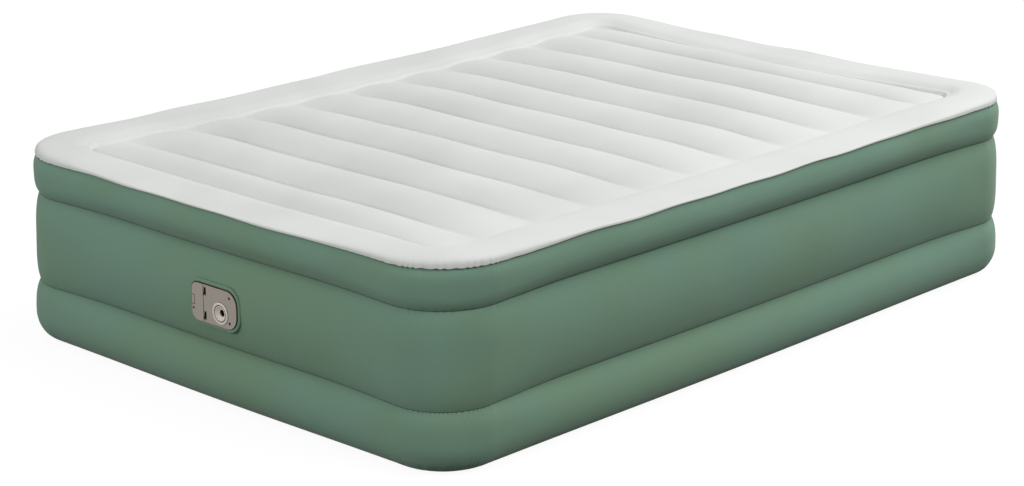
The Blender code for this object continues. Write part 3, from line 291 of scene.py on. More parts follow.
def moulded_plastic(name, main, rough, grit, gleam):
    """ABS, nylon or rubber, moulded in a spark-eroded tool.

    The eye gets a satin face with a fine even grit and faint cloudy variation in gloss. Slots and gaps get
    painted shade, nearly black where little open air lies within 6 mm. The grit is 0.2 mm; it is drawn
    at the size given, in metres, so that it shows.
    """
    made, tree = fresh_material(name)
    where = add(tree, "ShaderNodeTexCoord").outputs["Object"]
    cloud = add(tree, "ShaderNodeTexNoise", Vector=where, Scale=1.0 / 0.030, Detail=2.0)
    grain = add(tree, "ShaderNodeTexNoise", Vector=where, Scale=1.0 / grit, Detail=2.0)
    tone = add(tree, "ShaderNodeMapRange", Value=cloud.outputs["Fac"], To_Min=0.94, To_Max=1.06)
    # Painted shade: slots and gaps are made nearly black by ambient occlusion within 6 mm.
    shade_painted_tone = painted_crease_shade(tree, tone.outputs["Result"], 0.006, 0.50, 0.88, 0.04)
    tinted = add(tree, "ShaderNodeHueSaturation", Color=main, Value=shade_painted_tone)
    gloss = add(
        tree, "ShaderNodeMapRange", Value=cloud.outputs["Fac"], To_Min=rough - 0.06, To_Max=rough + 0.06
    )
    edge = add(tree, "ShaderNodeBevel", {"samples": 6}, Radius=0.0008)
    bump = add(
        tree, "ShaderNodeBump", Height=grain.outputs["Fac"], Normal=edge.outputs[0],
        Strength=0.18, Distance=0.0003,
    )
    body = add(
        tree, "ShaderNodeBsdfPrincipled", Base_Color=tinted.outputs["Color"],
        Roughness=gloss.outputs["Result"], Normal=bump.outputs["Normal"], IOR=1.54, Specular_IOR_Level=gleam,
    )
    add(tree, "ShaderNodeOutputMaterial", Surface=body.outputs["BSDF"])
    return made


def calendered_vinyl(name, main, rough):
    """PVC sheet, rolled between embossing calenders.

    The eye gets a leathery satin skin with shallow pebbles 4 mm across and a low sheen of plasticiser.
    """
    made, tree = fresh_material(name)
    where = add(tree, "ShaderNodeTexCoord").outputs["Object"]
    pebble = add(tree, "ShaderNodeTexVoronoi", Vector=where, Scale=1.0 / 0.004)
    cloud = add(tree, "ShaderNodeTexNoise", Vector=where, Scale=1.0 / 0.20, Detail=2.0)
    tone = add(tree, "ShaderNodeMapRange", Value=cloud.outputs["Fac"], To_Min=0.9, To_Max=1.1)
    tinted = add(tree, "ShaderNodeHueSaturation", Color=main, Value=tone.outputs["Result"])
    bump = add(tree, "ShaderNodeBump", Height=pebble.outputs["Distance"], Strength=0.25, Distance=0.0006)
    sheet = add(
        tree, "ShaderNodeBsdfPrincipled", Base_Color=tinted.outputs["Color"],
        Normal=bump.outputs["Normal"], Roughness=rough, IOR=1.53,
    )
    add(tree, "ShaderNodeOutputMaterial", Surface=sheet.outputs["BSDF"])
    return made


def drawn_steel(name, main, rough):
    """Mild steel, drawn or turned and plated.

    The eye gets a metal with fine streaks 0.3 mm wide, drawn 1 mm wide so that they show.
    """
    made, tree = fresh_material(name)
    where = add(tree, "ShaderNodeTexCoord").outputs["Object"]
    streak = add(tree, "ShaderNodeTexNoise", Vector=where, Scale=1.0 / 0.001, Detail=1.0)
    gloss = add(
        tree, "ShaderNodeMapRange", Value=streak.outputs["Fac"], To_Min=rough - 0.1, To_Max=rough + 0.1
    )
    tone = add(tree, "ShaderNodeMapRange", Value=streak.outputs["Fac"], To_Min=0.92, To_Max=1.06)
    tinted = add(tree, "ShaderNodeHueSaturation", Color=main, Value=tone.outputs["Result"])
    metal = add(
        tree, "ShaderNodeBsdfPrincipled", Base_Color=tinted.outputs["Color"],
        Roughness=gloss.outputs["Result"], Metallic=1.0,
    )
    add(tree, "ShaderNodeOutputMaterial", Surface=metal.outputs["BSDF"])
    return made


# Material name, maker, colours and the maker's last numbers for each slot of the record
FINISHES = {
    # For the flocks the last numbers are the grain's nap and the strength of painted shade in creases.
    "white_flock": ("white_flocked_vinyl", flocked_vinyl, ("white", "white_shade"), (0.03, 0.06)),
    "green_flock": ("green_flocked_vinyl", flocked_vinyl, ("green", "green_warm"), (0.07, 0.34)),
    "base_vinyl": ("embossed_base_vinyl", calendered_vinyl, ("base",), (0.55,)),
    "web_vinyl": ("clear_grey_web_vinyl", calendered_vinyl, ("web",), (0.45,)),
    "taupe_plastic": ("taupe_moulded_abs", moulded_plastic, ("taupe",), (0.48, 0.0012, 0.5)),
    "pale_plastic": ("pale_moulded_abs", moulded_plastic, ("pale",), (0.34, 0.0016, 0.5)),
    "dark_plastic": ("dark_moulded_abs", moulded_plastic, ("dark",), (0.50, 0.0012, 0.3)),
    "web_plastic": ("grey_moulded_nylon", moulded_plastic, ("web",), (0.42, 0.0012, 0.5)),
    # The black rubber finish is also put on the door's gap faces as painted shade.
    "black_rubber": ("black_moulded_rubber", moulded_plastic, ("rubber",), (0.62, 0.0020, 0.1)),
    "bright_steel": ("bright_drawn_steel", drawn_steel, ("steel",), (0.30,)),
    "dark_steel": ("blackened_turned_steel", drawn_steel, ("dark",), (0.45,)),
    "motor_steel": ("plated_motor_steel", drawn_steel, ("steel",), (0.42,)),
}


def finish_for(slot):
    """Material of a slot of the record, made once and then reused."""
    name, maker, shades, numbers = FINISHES[slot]
    made = bpy.data.materials.get(name)
    if made:
        return made
    tints = bpy.context.scene.mattress_colours
    return maker(name, *(tuple(getattr(tints, shade)) for shade in shades), *numbers)


def grid_faces(rows, columns, closed):
    """Quads that join neighbours of a grid, with the last column joined to the first when closed."""
    index = np.arange(rows * columns).reshape(rows, columns)
    if closed:
        index = np.concatenate([index, index[:, :1]], axis=1)
    return np.stack([index[:-1, :-1], index[:-1, 1:], index[1:, 1:], index[1:, :-1]], axis=-1).reshape(-1, 4)


def add_piece(name, points, faces, slot, body):
    """Smooth mesh object of points and quads, finished with a slot's material, riding on a body."""
    used, quads = np.unique(faces, return_inverse=True)
    points = points.reshape(-1, 3)[used]
    quads = quads.reshape(-1, 4).astype(np.int32)
    mesh = bpy.data.meshes.new(name)
    mesh.vertices.add(len(points))
    mesh.vertices.foreach_set("co", points.astype(np.float32).ravel())
    mesh.loops.add(quads.size)
    mesh.loops.foreach_set("vertex_index", quads.ravel())
    mesh.polygons.add(len(quads))
    mesh.polygons.foreach_set("loop_start", np.arange(0, quads.size, 4, dtype=np.int32))
    mesh.polygons.foreach_set("use_smooth", np.ones(len(quads), dtype=bool))
    mesh.update(calc_edges=True)
    mesh.validate()
    mesh.materials.append(finish_for(slot))
    piece = bpy.data.objects.new(name, mesh)
    bpy.context.scene.collection.objects.link(piece)
    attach(piece, body)
    return piece


def thicken(piece, thickness):
    """Give a skin its thickness on its inner side."""
    shell = piece.modifiers.new("skin", "SOLIDIFY")
    shell.thickness = thickness
    shell.offset = -1.0


def blown_up(points, faces, held):
    """Cloth simulation of a skin under air pressure, with no point moved further than the cap.

    The held points are pinned, as welds hold them. The pressure pushes along the normals for a few
    frames with no gravity, so the folds at the ends of the welds come from the cloth.
    """
    flat = points.reshape(-1, 3)
    scene = bpy.context.scene
    mesh = bpy.data.meshes.new("skin_trial")
    mesh.from_pydata(flat.tolist(), [], faces.tolist())
    trial = bpy.data.objects.new("skin_trial", mesh)
    scene.collection.objects.link(trial)
    trial.vertex_groups.new(name="welds").add(np.flatnonzero(held).tolist(), 1.0, "REPLACE")
    cloth = trial.modifiers.new("air", "CLOTH")
    cloth.settings.vertex_group_mass = "welds"
    cloth.settings.quality = 6
    cloth.settings.tension_stiffness = 60.0
    cloth.settings.compression_stiffness = 60.0
    cloth.settings.shear_stiffness = 20.0
    cloth.settings.bending_stiffness = 0.1
    cloth.settings.use_pressure = True
    cloth.settings.uniform_pressure_force = AIR_PRESSURE
    cloth.settings.effector_weights.gravity = 0.0
    cloth.point_cache.frame_start = 1
    cloth.point_cache.frame_end = AIR_FRAMES
    for number in range(1, AIR_FRAMES + 1):
        scene.frame_set(number)
    shaped = trial.evaluated_get(bpy.context.evaluated_depsgraph_get()).data
    found = np.empty(len(flat) * 3, dtype=np.float32)
    shaped.vertices.foreach_get("co", found)
    moved = found.reshape(-1, 3) - flat
    size = np.linalg.norm(moved, axis=1, keepdims=True)
    moved *= np.minimum(1.0, AIR_CAP / np.maximum(size, 1e-9))
    bpy.data.objects.remove(trial)
    bpy.data.meshes.remove(mesh)
    scene.frame_set(1)
    return (flat + moved).reshape(points.shape)


class Plan:
    """Columns round the plan, counter-clockwise: four quarter corners and the four sides after them."""

    CORNER_STEPS = 150
    SIDE_STEPS = (110, 80, 110, 170)
    REACH = 0.36
    PITCH_WAVES = (23, 41, 67, 97)
    SWELL_WAVES = range(9, 32, 3)

    def __init__(self, sizes):
        """Store for each column its corner signs, its direction, its bow and its place along the edge."""
        self.sizes = sizes
        signs = np.array([(1, -1), (1, 1), (-1, 1), (-1, -1)], dtype=float)
        middle = np.array([sizes.half_width, sizes.half_length]) - sizes.side_bow - sizes.top_corner
        quarter = sizes.top_corner * np.pi / 2.0
        hold, turn, bow, arc, mid = [], [], [], [], []
        start = 0.0
        for k in range(4):
            share = np.arange(self.CORNER_STEPS) / self.CORNER_STEPS
            hold.append(np.repeat(signs[k:k + 1], self.CORNER_STEPS, axis=0))
            turn.append((k - 1 + share) * np.pi / 2.0)
            bow.append(np.zeros(self.CORNER_STEPS))
            arc.append(start + share * quarter)
            mid.append(start + quarter / 2.0)
            start += quarter
            steps = self.SIDE_STEPS[k]
            share = np.arange(steps) / steps
            ahead = signs[(k + 1) % 4]
            hold.append(signs[k] + share[:, None] * (ahead - signs[k]))
            turn.append(np.full(steps, k * np.pi / 2.0))
            bow.append(np.sin(np.pi * share) ** 2)
            run = np.abs(middle * (ahead - signs[k])).sum()
            arc.append(start + share * run)
            start += run
        self.hold = np.concatenate(hold)
        turn = np.concatenate(turn)
        self.face = np.stack([np.cos(turn), np.sin(turn)], axis=-1)
        self.bow = np.concatenate(bow)
        self.arc = np.concatenate(arc)
        away = np.abs(self.arc[:, None] - np.array(mid)[None, :])
        near = np.minimum(away, start - away).min(axis=1)
        fade = np.clip(1.0 - near / self.REACH, 0.0, 1.0)
        self.corner = fade * fade * (3.0 - 2.0 * fade)
        self.whole = start

    def place(self, half_x, half_y, radius, bow, height):
        """Points of each row and column: corner centre, plus corner radius and bow along the direction."""
        reach = np.stack([half_x - bow - radius, half_y - bow - radius], axis=-1)
        out = (radius + bow * self.bow)[..., None] * self.face
        flat = self.hold * reach + out
        high = np.broadcast_to(height, flat.shape[:-1])
        return np.concatenate([flat, high[..., None]], axis=-1)

    def wall(self, outset, height):
        """Wall points: the plan grown by the outset, with corners that widen up to the upper groove."""
        sizes = self.sizes
        grow = np.minimum(height / sizes.high_groove, 1.0)
        radius = sizes.base_corner + (sizes.top_corner - sizes.base_corner) * grow + outset
        return self.place(
            sizes.half_width + outset, sizes.half_length + outset, radius, sizes.side_bow, height
        )

    def lobes(self, folds):
        """Rounded lobes with sharp notches: the size of a sine whose pitch wanders round the edge."""
        chance = np.random.default_rng(folds.seed)
        turns = round(self.whole / folds.pitch / 2.0) * 2
        share = self.arc / self.whole
        phase = np.pi * turns * share
        for waves in self.PITCH_WAVES:
            phase = phase + chance.uniform(0.5, 1.1) * np.sin(TAU * (waves * share + chance.uniform()))
        return np.abs(np.sin(phase))

    def swells(self, seed):
        """Slow unevenness of a blown-up skin: a few sines of 0.2 to 0.7 m round the edge, about one high."""
        chance = np.random.default_rng(seed)
        share = self.arc / self.whole
        waves = np.array(self.SWELL_WAVES)[:, None]
        turns = np.sin(TAU * (waves * share + chance.uniform(size=(len(waves), 1))))
        return (turns * chance.uniform(0.2, 0.5, size=(len(waves), 1))).sum(axis=0)


def seam_drop(plan):
    """Line of the seam under the white top: it wanders slowly, and lobes 19 mm long hang from the corners."""
    hanging = SEAM_LOBE * plan.corner * plan.lobes(SEAM_FOLDS)
    return hanging + SEAM_WANDER * (1.0 - plan.corner) * plan.swells(SEAM_SEED)


def groove_jag(plan, deep, folds):
    """Ragged line of a groove at the corners, up and down with its folds by the depth given."""
    return deep * plan.corner * (plan.lobes(folds) - LOBE_MIDDLE)


def pinch(plan, deep, more):
    """Depth of a groove: the belt holds it deeper along the straight sides than round the corners."""
    return deep + more * (1.0 - plan.corner)


def groove_roll(plan, away):
    """Extra depth of a groove that dies away with the distance from it, and is less round the corners."""
    return GROOVE_ROLL * (1.0 - GROOVE_ROLL_EASE * plan.corner) * np.exp(-np.abs(away) / GROOVE_ROLL_FADE)


def pucker(plan, away, folds):
    """Short folds that run out of a seam: lobes round the edge that die away with the distance from it."""
    return folds.deep * plan.corner * (plan.lobes(folds) - FOLD_MIDDLE) * np.exp(-away / folds.fade)


def tier_rows():
    """Row shares from -1 to 1, closer together towards both grooves."""
    return np.sin(np.linspace(-np.pi / 2.0, np.pi / 2.0, TIER_ROWS))[:, None]


def swollen_tier(plan, low, high, low_pinch, high_pinch):
    """Rows of a tier between two lines: drawn in by the pinches, as a parabola on the straight sides.

    Round the corners the power rises from 2 to 3.5, so that the tier stands upright there.
    """
    share = tier_rows()
    height = (low + high) / 2.0 + (high - low) / 2.0 * share
    outset = -np.where(share < 0.0, low_pinch, high_pinch) * np.abs(share) ** (2.0 + 1.5 * plan.corner)
    return outset, height


def curl_below(outset, height, drop):
    """Add a first row that turns in towards the weld and drops, so that the groove looks shut."""
    return np.concatenate([outset[:1] - CURL_IN, outset]), np.concatenate([height[:1] - drop, height])


def curl_above(outset, height, rise):
    """Add a last row that turns in towards the weld and rises, so that the groove looks shut."""
    return np.concatenate([outset, outset[-1:] - CURL_IN]), np.concatenate([height, height[-1:] + rise])


def upper_tier(plan, groove):
    """Outset and height of the tier from the upper groove to the white top's seam."""
    sizes = plan.sizes
    line, deep = groove
    outset, height = swollen_tier(
        plan, sizes.high_groove + line, sizes.top_seam - seam_drop(plan), deep, sizes.seam_pinch + SEAM_TUCK
    )
    outset = outset + pucker(plan, sizes.top_seam - height, SEAM_FOLDS)
    outset = outset + pucker(plan, height - sizes.high_groove, ABOVE_HIGH_GROOVE)
    outset = outset + UPPER_SWELL * plan.swells(UPPER_SEED) * (1.0 - tier_rows() ** 2)
    outset = outset - groove_roll(plan, height - sizes.high_groove)
    return curl_above(*curl_below(outset, height, CURL_SHUT), 0.0)


def middle_tier(plan, high_groove, low_groove):
    """Outset and height of the tier between the two grooves."""
    sizes = plan.sizes
    high_line, high_deep = high_groove
    low_line, low_deep = low_groove
    outset, height = swollen_tier(
        plan, sizes.low_groove + low_line, sizes.high_groove - TIER_GAP + high_line, low_deep, high_deep
    )
    outset = outset + pucker(plan, sizes.high_groove - height, BELOW_HIGH_GROOVE)
    outset = outset + pucker(plan, height - sizes.low_groove, LOW_GROOVE_FOLDS)
    outset = outset + MIDDLE_SWELL * plan.swells(MIDDLE_SEED) * (1.0 - tier_rows() ** 2)
    outset = outset - groove_roll(plan, sizes.high_groove - height)
    outset = outset - groove_roll(plan, height - sizes.low_groove)
    return curl_above(*curl_below(outset, height, CURL_SHUT), CURL_SHUT)


def lower_tier(plan, groove):
    """Outset and height of the lowest tier: a quarter ellipse up from the floor, then in to its groove.

    It goes in as a power of the share of the way up: 2.2 on the straight sides, 3.5 round the corners.
    """
    sizes = plan.sizes
    line, deep = groove
    turn = np.linspace(np.pi / 2.0, 0.0, ROLL_ROWS)[:, None]
    under_out = sizes.flare - sizes.tuck * (1.0 - np.cos(turn))
    under_up = FLOOR_GAP + (sizes.belly - FLOOR_GAP) * (1.0 - np.sin(turn))
    share = np.sin(np.linspace(0.0, np.pi / 2.0, RISE_ROWS)[1:])[:, None]
    top = sizes.low_groove - TIER_GAP + line
    rise_out = sizes.flare - (sizes.flare + deep) * share ** (2.2 + 1.3 * plan.corner)
    rise_up = sizes.belly + (top - sizes.belly) * share
    wide = np.ones_like(plan.arc)
    outset = np.concatenate([under_out * wide, rise_out])
    height = np.concatenate([under_up * wide, rise_up])
    outset = outset + pucker(plan, sizes.low_groove - height, LOW_GROOVE_FOLDS)
    ripple = pucker(plan, np.abs(height - FLOOR_FOLD_HEIGHT), FLOOR_FOLDS)
    outset = outset + ripple * np.clip(height / FLOOR_FOLD_HEIGHT, 0.0, 1.0)
    outset = outset - groove_roll(plan, sizes.low_groove - height)
    return curl_above(outset, height, CURL_SHUT)


def belt_points(plan, node, deep):
    """Flat ring of a belt web at its solid's height, from the bottom of its groove in to the rim curtain."""
    sizes = plan.sizes
    level = np.full((1, 1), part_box(node)[1].z)
    corner = np.full((1, 1), sizes.weld_corner)
    inner = plan.place(sizes.weld_x + CURTAIN_GAP, sizes.weld_y + CURTAIN_GAP, corner, 0.0, level)
    return np.concatenate([plan.wall(-deep[None, :] - BELT_GAP, level), inner])


def panel_frame():
    """Middle and half sizes of the pump panel, across and up."""
    low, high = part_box("face_plate")
    centre = np.array([low.x + high.x, low.z + high.z]) / 2.0
    half = np.array([high.x - low.x, high.z - low.z]) / 2.0
    return centre, half


def pump_opening(points, faces):
    """Cut the panel's opening: points inside a rounded rectangle go to its edge, shut quads are dropped."""
    centre, half = panel_frame()
    flat = points.reshape(-1, 3)
    offset = flat[:, [0, 2]] - centre
    beyond = np.abs(offset) - (half - OPENING_CORNER)
    corner = np.maximum(beyond, 0.0)
    size = np.linalg.norm(corner, axis=1)
    depth = size + np.minimum(beyond.max(axis=1), 0.0) - OPENING_CORNER - OPENING_MARGIN
    inside = (depth < 0.0) & (flat[:, 1] < 0.0)
    axis = np.eye(2)[np.argmax(beyond, axis=1)]
    lead = np.where(size[:, None] > 1e-9, corner / np.maximum(size, 1e-9)[:, None], axis)
    lead = lead * np.where(offset < 0.0, -1.0, 1.0)
    moved = flat.copy()
    moved[inside, 0] -= depth[inside] * lead[inside, 0]
    moved[inside, 2] -= depth[inside] * lead[inside, 1]
    return moved, faces[~inside[faces].all(axis=1)]


class MATTRESS_OT_walls(bpy.types.Operator):
    """Blow up the three green wall tiers, with puckers and the pump opening, and lay the belts"""

    bl_idname = "mattress.walls"
    bl_label = "Side walls"

    def execute(self, context):
        """Carry each tier's profile round the plan, and lay a flat ring in each groove."""
        sizes = context.scene.mattress_sizes
        plan = Plan(sizes)
        high_deep = pinch(plan, sizes.high_pinch, HIGH_BELT_PULL)
        low_deep = pinch(plan, sizes.low_pinch, LOW_BELT_PULL)
        high_groove = (groove_jag(plan, HIGH_JAG, ABOVE_HIGH_GROOVE), high_deep)
        low_groove = (groove_jag(plan, LOW_JAG, LOW_GROOVE_FOLDS), low_deep)
        tiers = {
            "upper_wall": upper_tier(plan, high_groove),
            "middle_wall": middle_tier(plan, high_groove, low_groove),
            "lower_wall": lower_tier(plan, low_groove),
        }
        for node, (outset, height) in tiers.items():
            points = plan.wall(outset, height)
            faces = grid_faces(*points.shape[:2], True)
            if node == "middle_wall":
                points, faces = pump_opening(points, faces)
            piece = add_piece(node.replace("wall", "tier"), points, faces, "green_flock", "mattress")
            thicken(piece, sizes.skin)
            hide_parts(node)
        for node, deep in (("upper_belt", high_deep), ("lower_belt", low_deep)):
            points = belt_points(plan, node, deep + groove_roll(plan, 0.0))
            faces = grid_faces(*points.shape[:2], True)
            piece = add_piece(node + "_web", points, faces, "base_vinyl", "mattress")
            low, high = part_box(node)
            thicken(piece, high.z - low.z)
            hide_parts(node)
        return {"FINISHED"}


def weld_edges(sizes):
    """Where the channels begin and end along the length: the rim weld, the cross welds, the rim weld."""
    welds = [(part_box(name)[0].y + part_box(name)[1].y) / 2.0 for name in BEAMS]
    return np.array([-sizes.weld_y, *welds, sizes.weld_y])


def channel_pull(y, sizes):
    """Pull of the channels on the rim weld at a place along the length: none at a cross weld, one between."""
    edges = weld_edges(sizes)
    share = np.interp(y, edges, np.arange(len(edges))) % 1.0
    inner = np.abs(y) < edges[-2]
    return np.where(inner, np.sin(np.pi * share) ** 2, 0.0)


def corner_lift(points, sizes):
    """How far the blown-up top rises towards its corners: the square of x times y, one at the corners."""
    corner = np.abs(points[..., 0] * points[..., 1]) / (sizes.half_width * sizes.half_length)
    return sizes.lift * corner ** 2


def corner_stretch(points, sizes, tied):
    """Pull the rim weld out at its corners: the fourth powers of x and y, each one at the weld."""
    near = np.minimum((points[..., 0] / sizes.weld_x) ** 4 * (points[..., 1] / sizes.weld_y) ** 4, 1.0)
    points[..., :2] += WELD_STRETCH * np.sign(points[..., :2]) * (near * tied)[..., None]
    return points


def rim_points(plan):
    """Rim roll: an upright lip at the seam, an outer side, and an inner side that falls to the weld.

    The outer side goes a quarter turn in to the crest and rises as the sine to the power 0.6. The inner
    side falls as a parabola to the weld, with a bead beside the weld and a crease along it. The channels
    pull the weld out and up between the cross welds, and the corners are lifted.
    """
    sizes = plan.sizes
    weld_in = sizes.half_width - sizes.weld_x
    seam_up = sizes.top_seam + SEAM_GAP
    lip = seam_up + sizes.lip * np.linspace(0.0, 1.0, LIP_ROWS)[:-1, None]
    turn = np.linspace(0.0, np.pi / 2.0, OUTER_ROWS)[:, None]
    share = np.sin(np.linspace(0.0, np.pi / 2.0, INNER_ROWS)[1:])[:, None]
    outer_in = sizes.seam_pinch + (sizes.crest_inset - sizes.seam_pinch) * (1.0 - np.cos(turn))
    inner_in = sizes.crest_inset + (weld_in - sizes.crest_inset) * share
    inset = np.concatenate([np.full_like(lip, sizes.seam_pinch), outer_in, inner_in])
    outer_swell = np.concatenate([np.zeros_like(lip), np.sin(turn) ** 0.6])
    swell = np.concatenate([outer_swell, 1.0 - share ** 2.0])
    lift = np.concatenate([outer_swell, 1.0 - (1.0 - WELD_LIFT) * share])
    tied = np.concatenate([np.zeros_like(outer_swell), share ** 3])
    near_seam = np.concatenate([np.ones_like(lip), 1.0 - np.sin(turn), np.zeros_like(share)])
    foot = np.concatenate(
        [lip, np.full_like(turn, seam_up + sizes.lip), np.full_like(share, sizes.weld_z)]
    )
    height = foot + (sizes.crest - foot) * swell
    height = height - seam_drop(plan) * near_seam ** 2 + RIM_SWELL * plan.swells(RIM_SEED) * swell
    fold = RIM_FOLD * plan.corner * (plan.lobes(SEAM_FOLDS) - LOBE_MIDDLE) * near_seam
    part = inset / weld_in
    width = sizes.half_width - inset + fold
    depth = sizes.half_length + (sizes.weld_y - sizes.half_length) * part + fold
    radius = sizes.top_corner + (sizes.weld_corner - sizes.top_corner) * part
    points = plan.place(width, depth, radius, sizes.side_bow * (1.0 - part), height)
    points[..., 2] += corner_lift(points, sizes) * lift
    pull = channel_pull(points[..., 1], sizes) * tied * (np.abs(points[..., 0]) > sizes.weld_x - 1e-4)
    points[..., 0] += WELD_WAVE * pull * np.sign(points[..., 0])
    bead = np.exp(-((weld_in - BEAD_INSET - inset) / BEAD_HALF) ** 2) * (inset > sizes.crest_inset)
    crease = np.exp((inset - weld_in) / WELD_CREASE_FADE)
    points[..., 2] += WELD_WAVE * pull + BEAD_RISE * bead - WELD_CREASE * crease
    return corner_stretch(points, sizes, part ** 2)


def channel_lines(sizes):
    """Lines along the length, each with its place between its two welds, from -1 to 1.

    In the two end channels the lines are closer together towards the rim weld, as a sine.
    """
    edges = weld_edges(sizes)
    even = np.linspace(-1.0, 1.0, CHANNEL_ROWS)
    dense = np.sin(np.linspace(-np.pi / 2.0, np.pi / 6.0, END_CHANNEL_ROWS))
    dense = -1.0 + 2.0 * (dense + 1.0) / (dense[-1] + 1.0)
    shares = [dense] + [even] * (len(edges) - 3) + [-dense[::-1]]
    along = [(a + b) / 2.0 + (b - a) / 2.0 * s for a, b, s in zip(edges[:-1], edges[1:], shares)]
    place = np.concatenate([shares[0], *(s[1:] for s in shares[1:])])
    return np.concatenate([along[0], *(line[1:] for line in along[1:])]), place


def channel_points(sizes):
    """Channel panel: rows across the width, each as long as the weld outline lets it, swollen between welds.

    The height is one less a power of 2.5 across a channel, times one less a power of 6 towards the rim
    weld, with a slow unevenness, a crease along the rim weld and short folds that run in from it.
    """
    line, place = channel_lines(sizes)
    past = np.maximum(np.abs(line) - (sizes.weld_y - sizes.weld_corner), 0.0)
    arc = np.sqrt(np.maximum(sizes.weld_corner ** 2 - past ** 2, 0.0))
    half = sizes.weld_x - sizes.weld_corner + arc + WELD_WAVE * channel_pull(line, sizes)
    share = np.sin(np.linspace(-np.pi / 2.0, np.pi / 2.0, PANEL_COLUMNS))
    x = half[:, None] * share
    y = np.broadcast_to(line[:, None], x.shape)
    last_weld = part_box(BEAMS[-1])[0].y
    round_top = 1.0 - np.abs(place[:, None]) ** 2.5
    round_top = round_top * np.where(np.abs(y) > last_weld, END_CHANNEL_SHARE, 1.0)
    ends = 1.0 - np.abs(share) ** 6.0
    from_weld = half[:, None] * (1.0 - np.abs(share))
    chance = np.random.default_rng(CHANNEL_SEED)
    slow = sum(
        chance.uniform(0.4, 1.0) * np.sin(TAU * (y * a + x * b + chance.uniform()))
        for a, b in ((0.9, 1.4), (2.3, -0.7), (1.6, 2.2), (-0.6, 2.9))
    )
    wander = np.sin(TAU * y / CHANNEL_FOLD_WANDER + 1.0)
    fold = np.abs(np.sin(TAU * y / CHANNEL_FOLD_PITCH + wander)) - LOBE_MIDDLE
    rise = (sizes.channel - sizes.weld_z) * (1.0 + CHANNEL_UNEVEN * slow)
    height = sizes.weld_z + rise * round_top * ends
    height = height + WELD_WAVE * channel_pull(y, sizes) * np.exp(-from_weld / WAVE_FADE)
    height = height - WELD_CREASE * np.exp(-from_weld / WELD_CREASE_FADE)
    fading = np.exp(-from_weld / CHANNEL_FOLD_FADE) * (from_weld > 0.0)
    height = height + CHANNEL_FOLD * fold * round_top * fading
    points = np.stack([x, y, height], axis=-1)
    points[..., 2] += WELD_LIFT * corner_lift(points, sizes)
    return corner_stretch(points, sizes, np.ones_like(x))


class MATTRESS_OT_sleeping_top(bpy.types.Operator):
    """Lay the white top: the rim roll and the welded air channels"""

    bl_idname = "mattress.sleeping_top"
    bl_label = "Sleeping top"

    def execute(self, context):
        """Make the rim roll as a ring of rows and the channel panel as a grid of lines, held at its welds."""
        sizes = context.scene.mattress_sizes
        panel = channel_points(sizes)
        held = np.zeros(panel.shape[:2], dtype=bool)
        held[np.abs(channel_lines(sizes)[1]) > WELD_PLACE] = True
        held[:, [0, -1]] = True
        panel = blown_up(panel, grid_faces(*panel.shape[:2], False), held)
        for name, points, closed in (
            ("rim_roll", rim_points(Plan(sizes)), True),
            ("channel_panel", panel, False),
        ):
            faces = grid_faces(*points.shape[:2], closed)
            piece = add_piece(name, points, faces, "white_flock", "mattress")
            thicken(piece, sizes.skin)
            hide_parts("top_sheet")
        return {"FINISHED"}


class MATTRESS_OT_base(bpy.types.Operator):
    """Lay the flat floor sheet"""

    bl_idname = "mattress.base"
    bl_label = "Floor sheet"

    CORNER_LINES = 24
    SIDE_LINES = 80
    COLUMNS = 60

    def execute(self, context):
        """Fill the base outline with rows across the width, as long as the round corners let them."""
        sizes = context.scene.mattress_sizes
        low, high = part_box("base_sheet")
        corner = sizes.base_corner - sizes.tuck
        turn = np.linspace(0.0, np.pi / 2.0, self.CORNER_LINES)
        tip = high.y - corner + corner * np.sin(turn)
        line = np.concatenate([-tip[::-1], np.linspace(-tip[0], tip[0], self.SIDE_LINES)[1:-1], tip])
        past = np.maximum(np.abs(line) - tip[0], 0.0)
        half = high.x - corner + np.sqrt(np.maximum(corner ** 2 - past ** 2, 0.0))
        x = half[::-1, None] * np.linspace(-1.0, 1.0, self.COLUMNS)
        y = np.broadcast_to(line[::-1, None], x.shape)
        points = np.stack([x, y, np.full_like(x, low.z)], axis=-1)
        faces = grid_faces(*points.shape[:2], False)
        piece = add_piece("floor_sheet", points, faces, "base_vinyl", "mattress")
        thicken(piece, high.z - low.z)
        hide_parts("base_sheet")
        return {"FINISHED"}


def panel_ring(centre, half, radii):
    """Rounded rectangles in the pump panel's plane, counter-clockwise seen from the pump's end.

    Each row has its own half sizes and its own corner radii on the left and the right: four quarter
    turns, joined by the straight edges.
    """
    turn = np.linspace(0.0, np.pi / 2.0, COLLAR_CORNER_STEPS)
    parts = []
    for k, (sx, sz, side) in enumerate(((1, 1, 1), (-1, 1, 0), (-1, -1, 0), (1, -1, 1))):
        angle = turn + k * np.pi / 2.0
        radius = radii[:, side:side + 1]
        x = centre[0] + sx * (half[:, :1] - radius) + radius * np.cos(angle)
        z = centre[1] + sz * (half[:, 1:] - radius) + radius * np.sin(angle)
        parts.append(np.stack([x, z], axis=-1))
    return np.concatenate(parts, axis=1)


def collar_points():
    """Soft lip round the pump panel: a half turn that swells as the sine to the power 0.7, and a back."""
    centre, half = panel_frame()
    low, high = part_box("pump_collar")
    wide = high.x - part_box("face_plate")[1].x
    turn = np.linspace(0.0, np.pi, COLLAR_ROWS)
    outset = COLLAR_GAP + (wide - COLLAR_GAP) * (1.0 + np.cos(turn)) / 2.0
    front = low.y + COLLAR_SINK - COLLAR_SWELL * np.sin(turn) ** 0.7
    outset = np.concatenate([outset, [outset[-1], outset[0]]])[:, None]
    front = np.concatenate([front, [high.y, high.y]])[:, None]
    ring = panel_ring(centre, half + outset, np.array(PANEL_CORNERS) + outset)
    depth = np.broadcast_to(front, ring.shape[:2])
    points = np.stack([ring[..., 0], depth, ring[..., 1]], axis=-1)
    return np.concatenate([points, points[:1]])


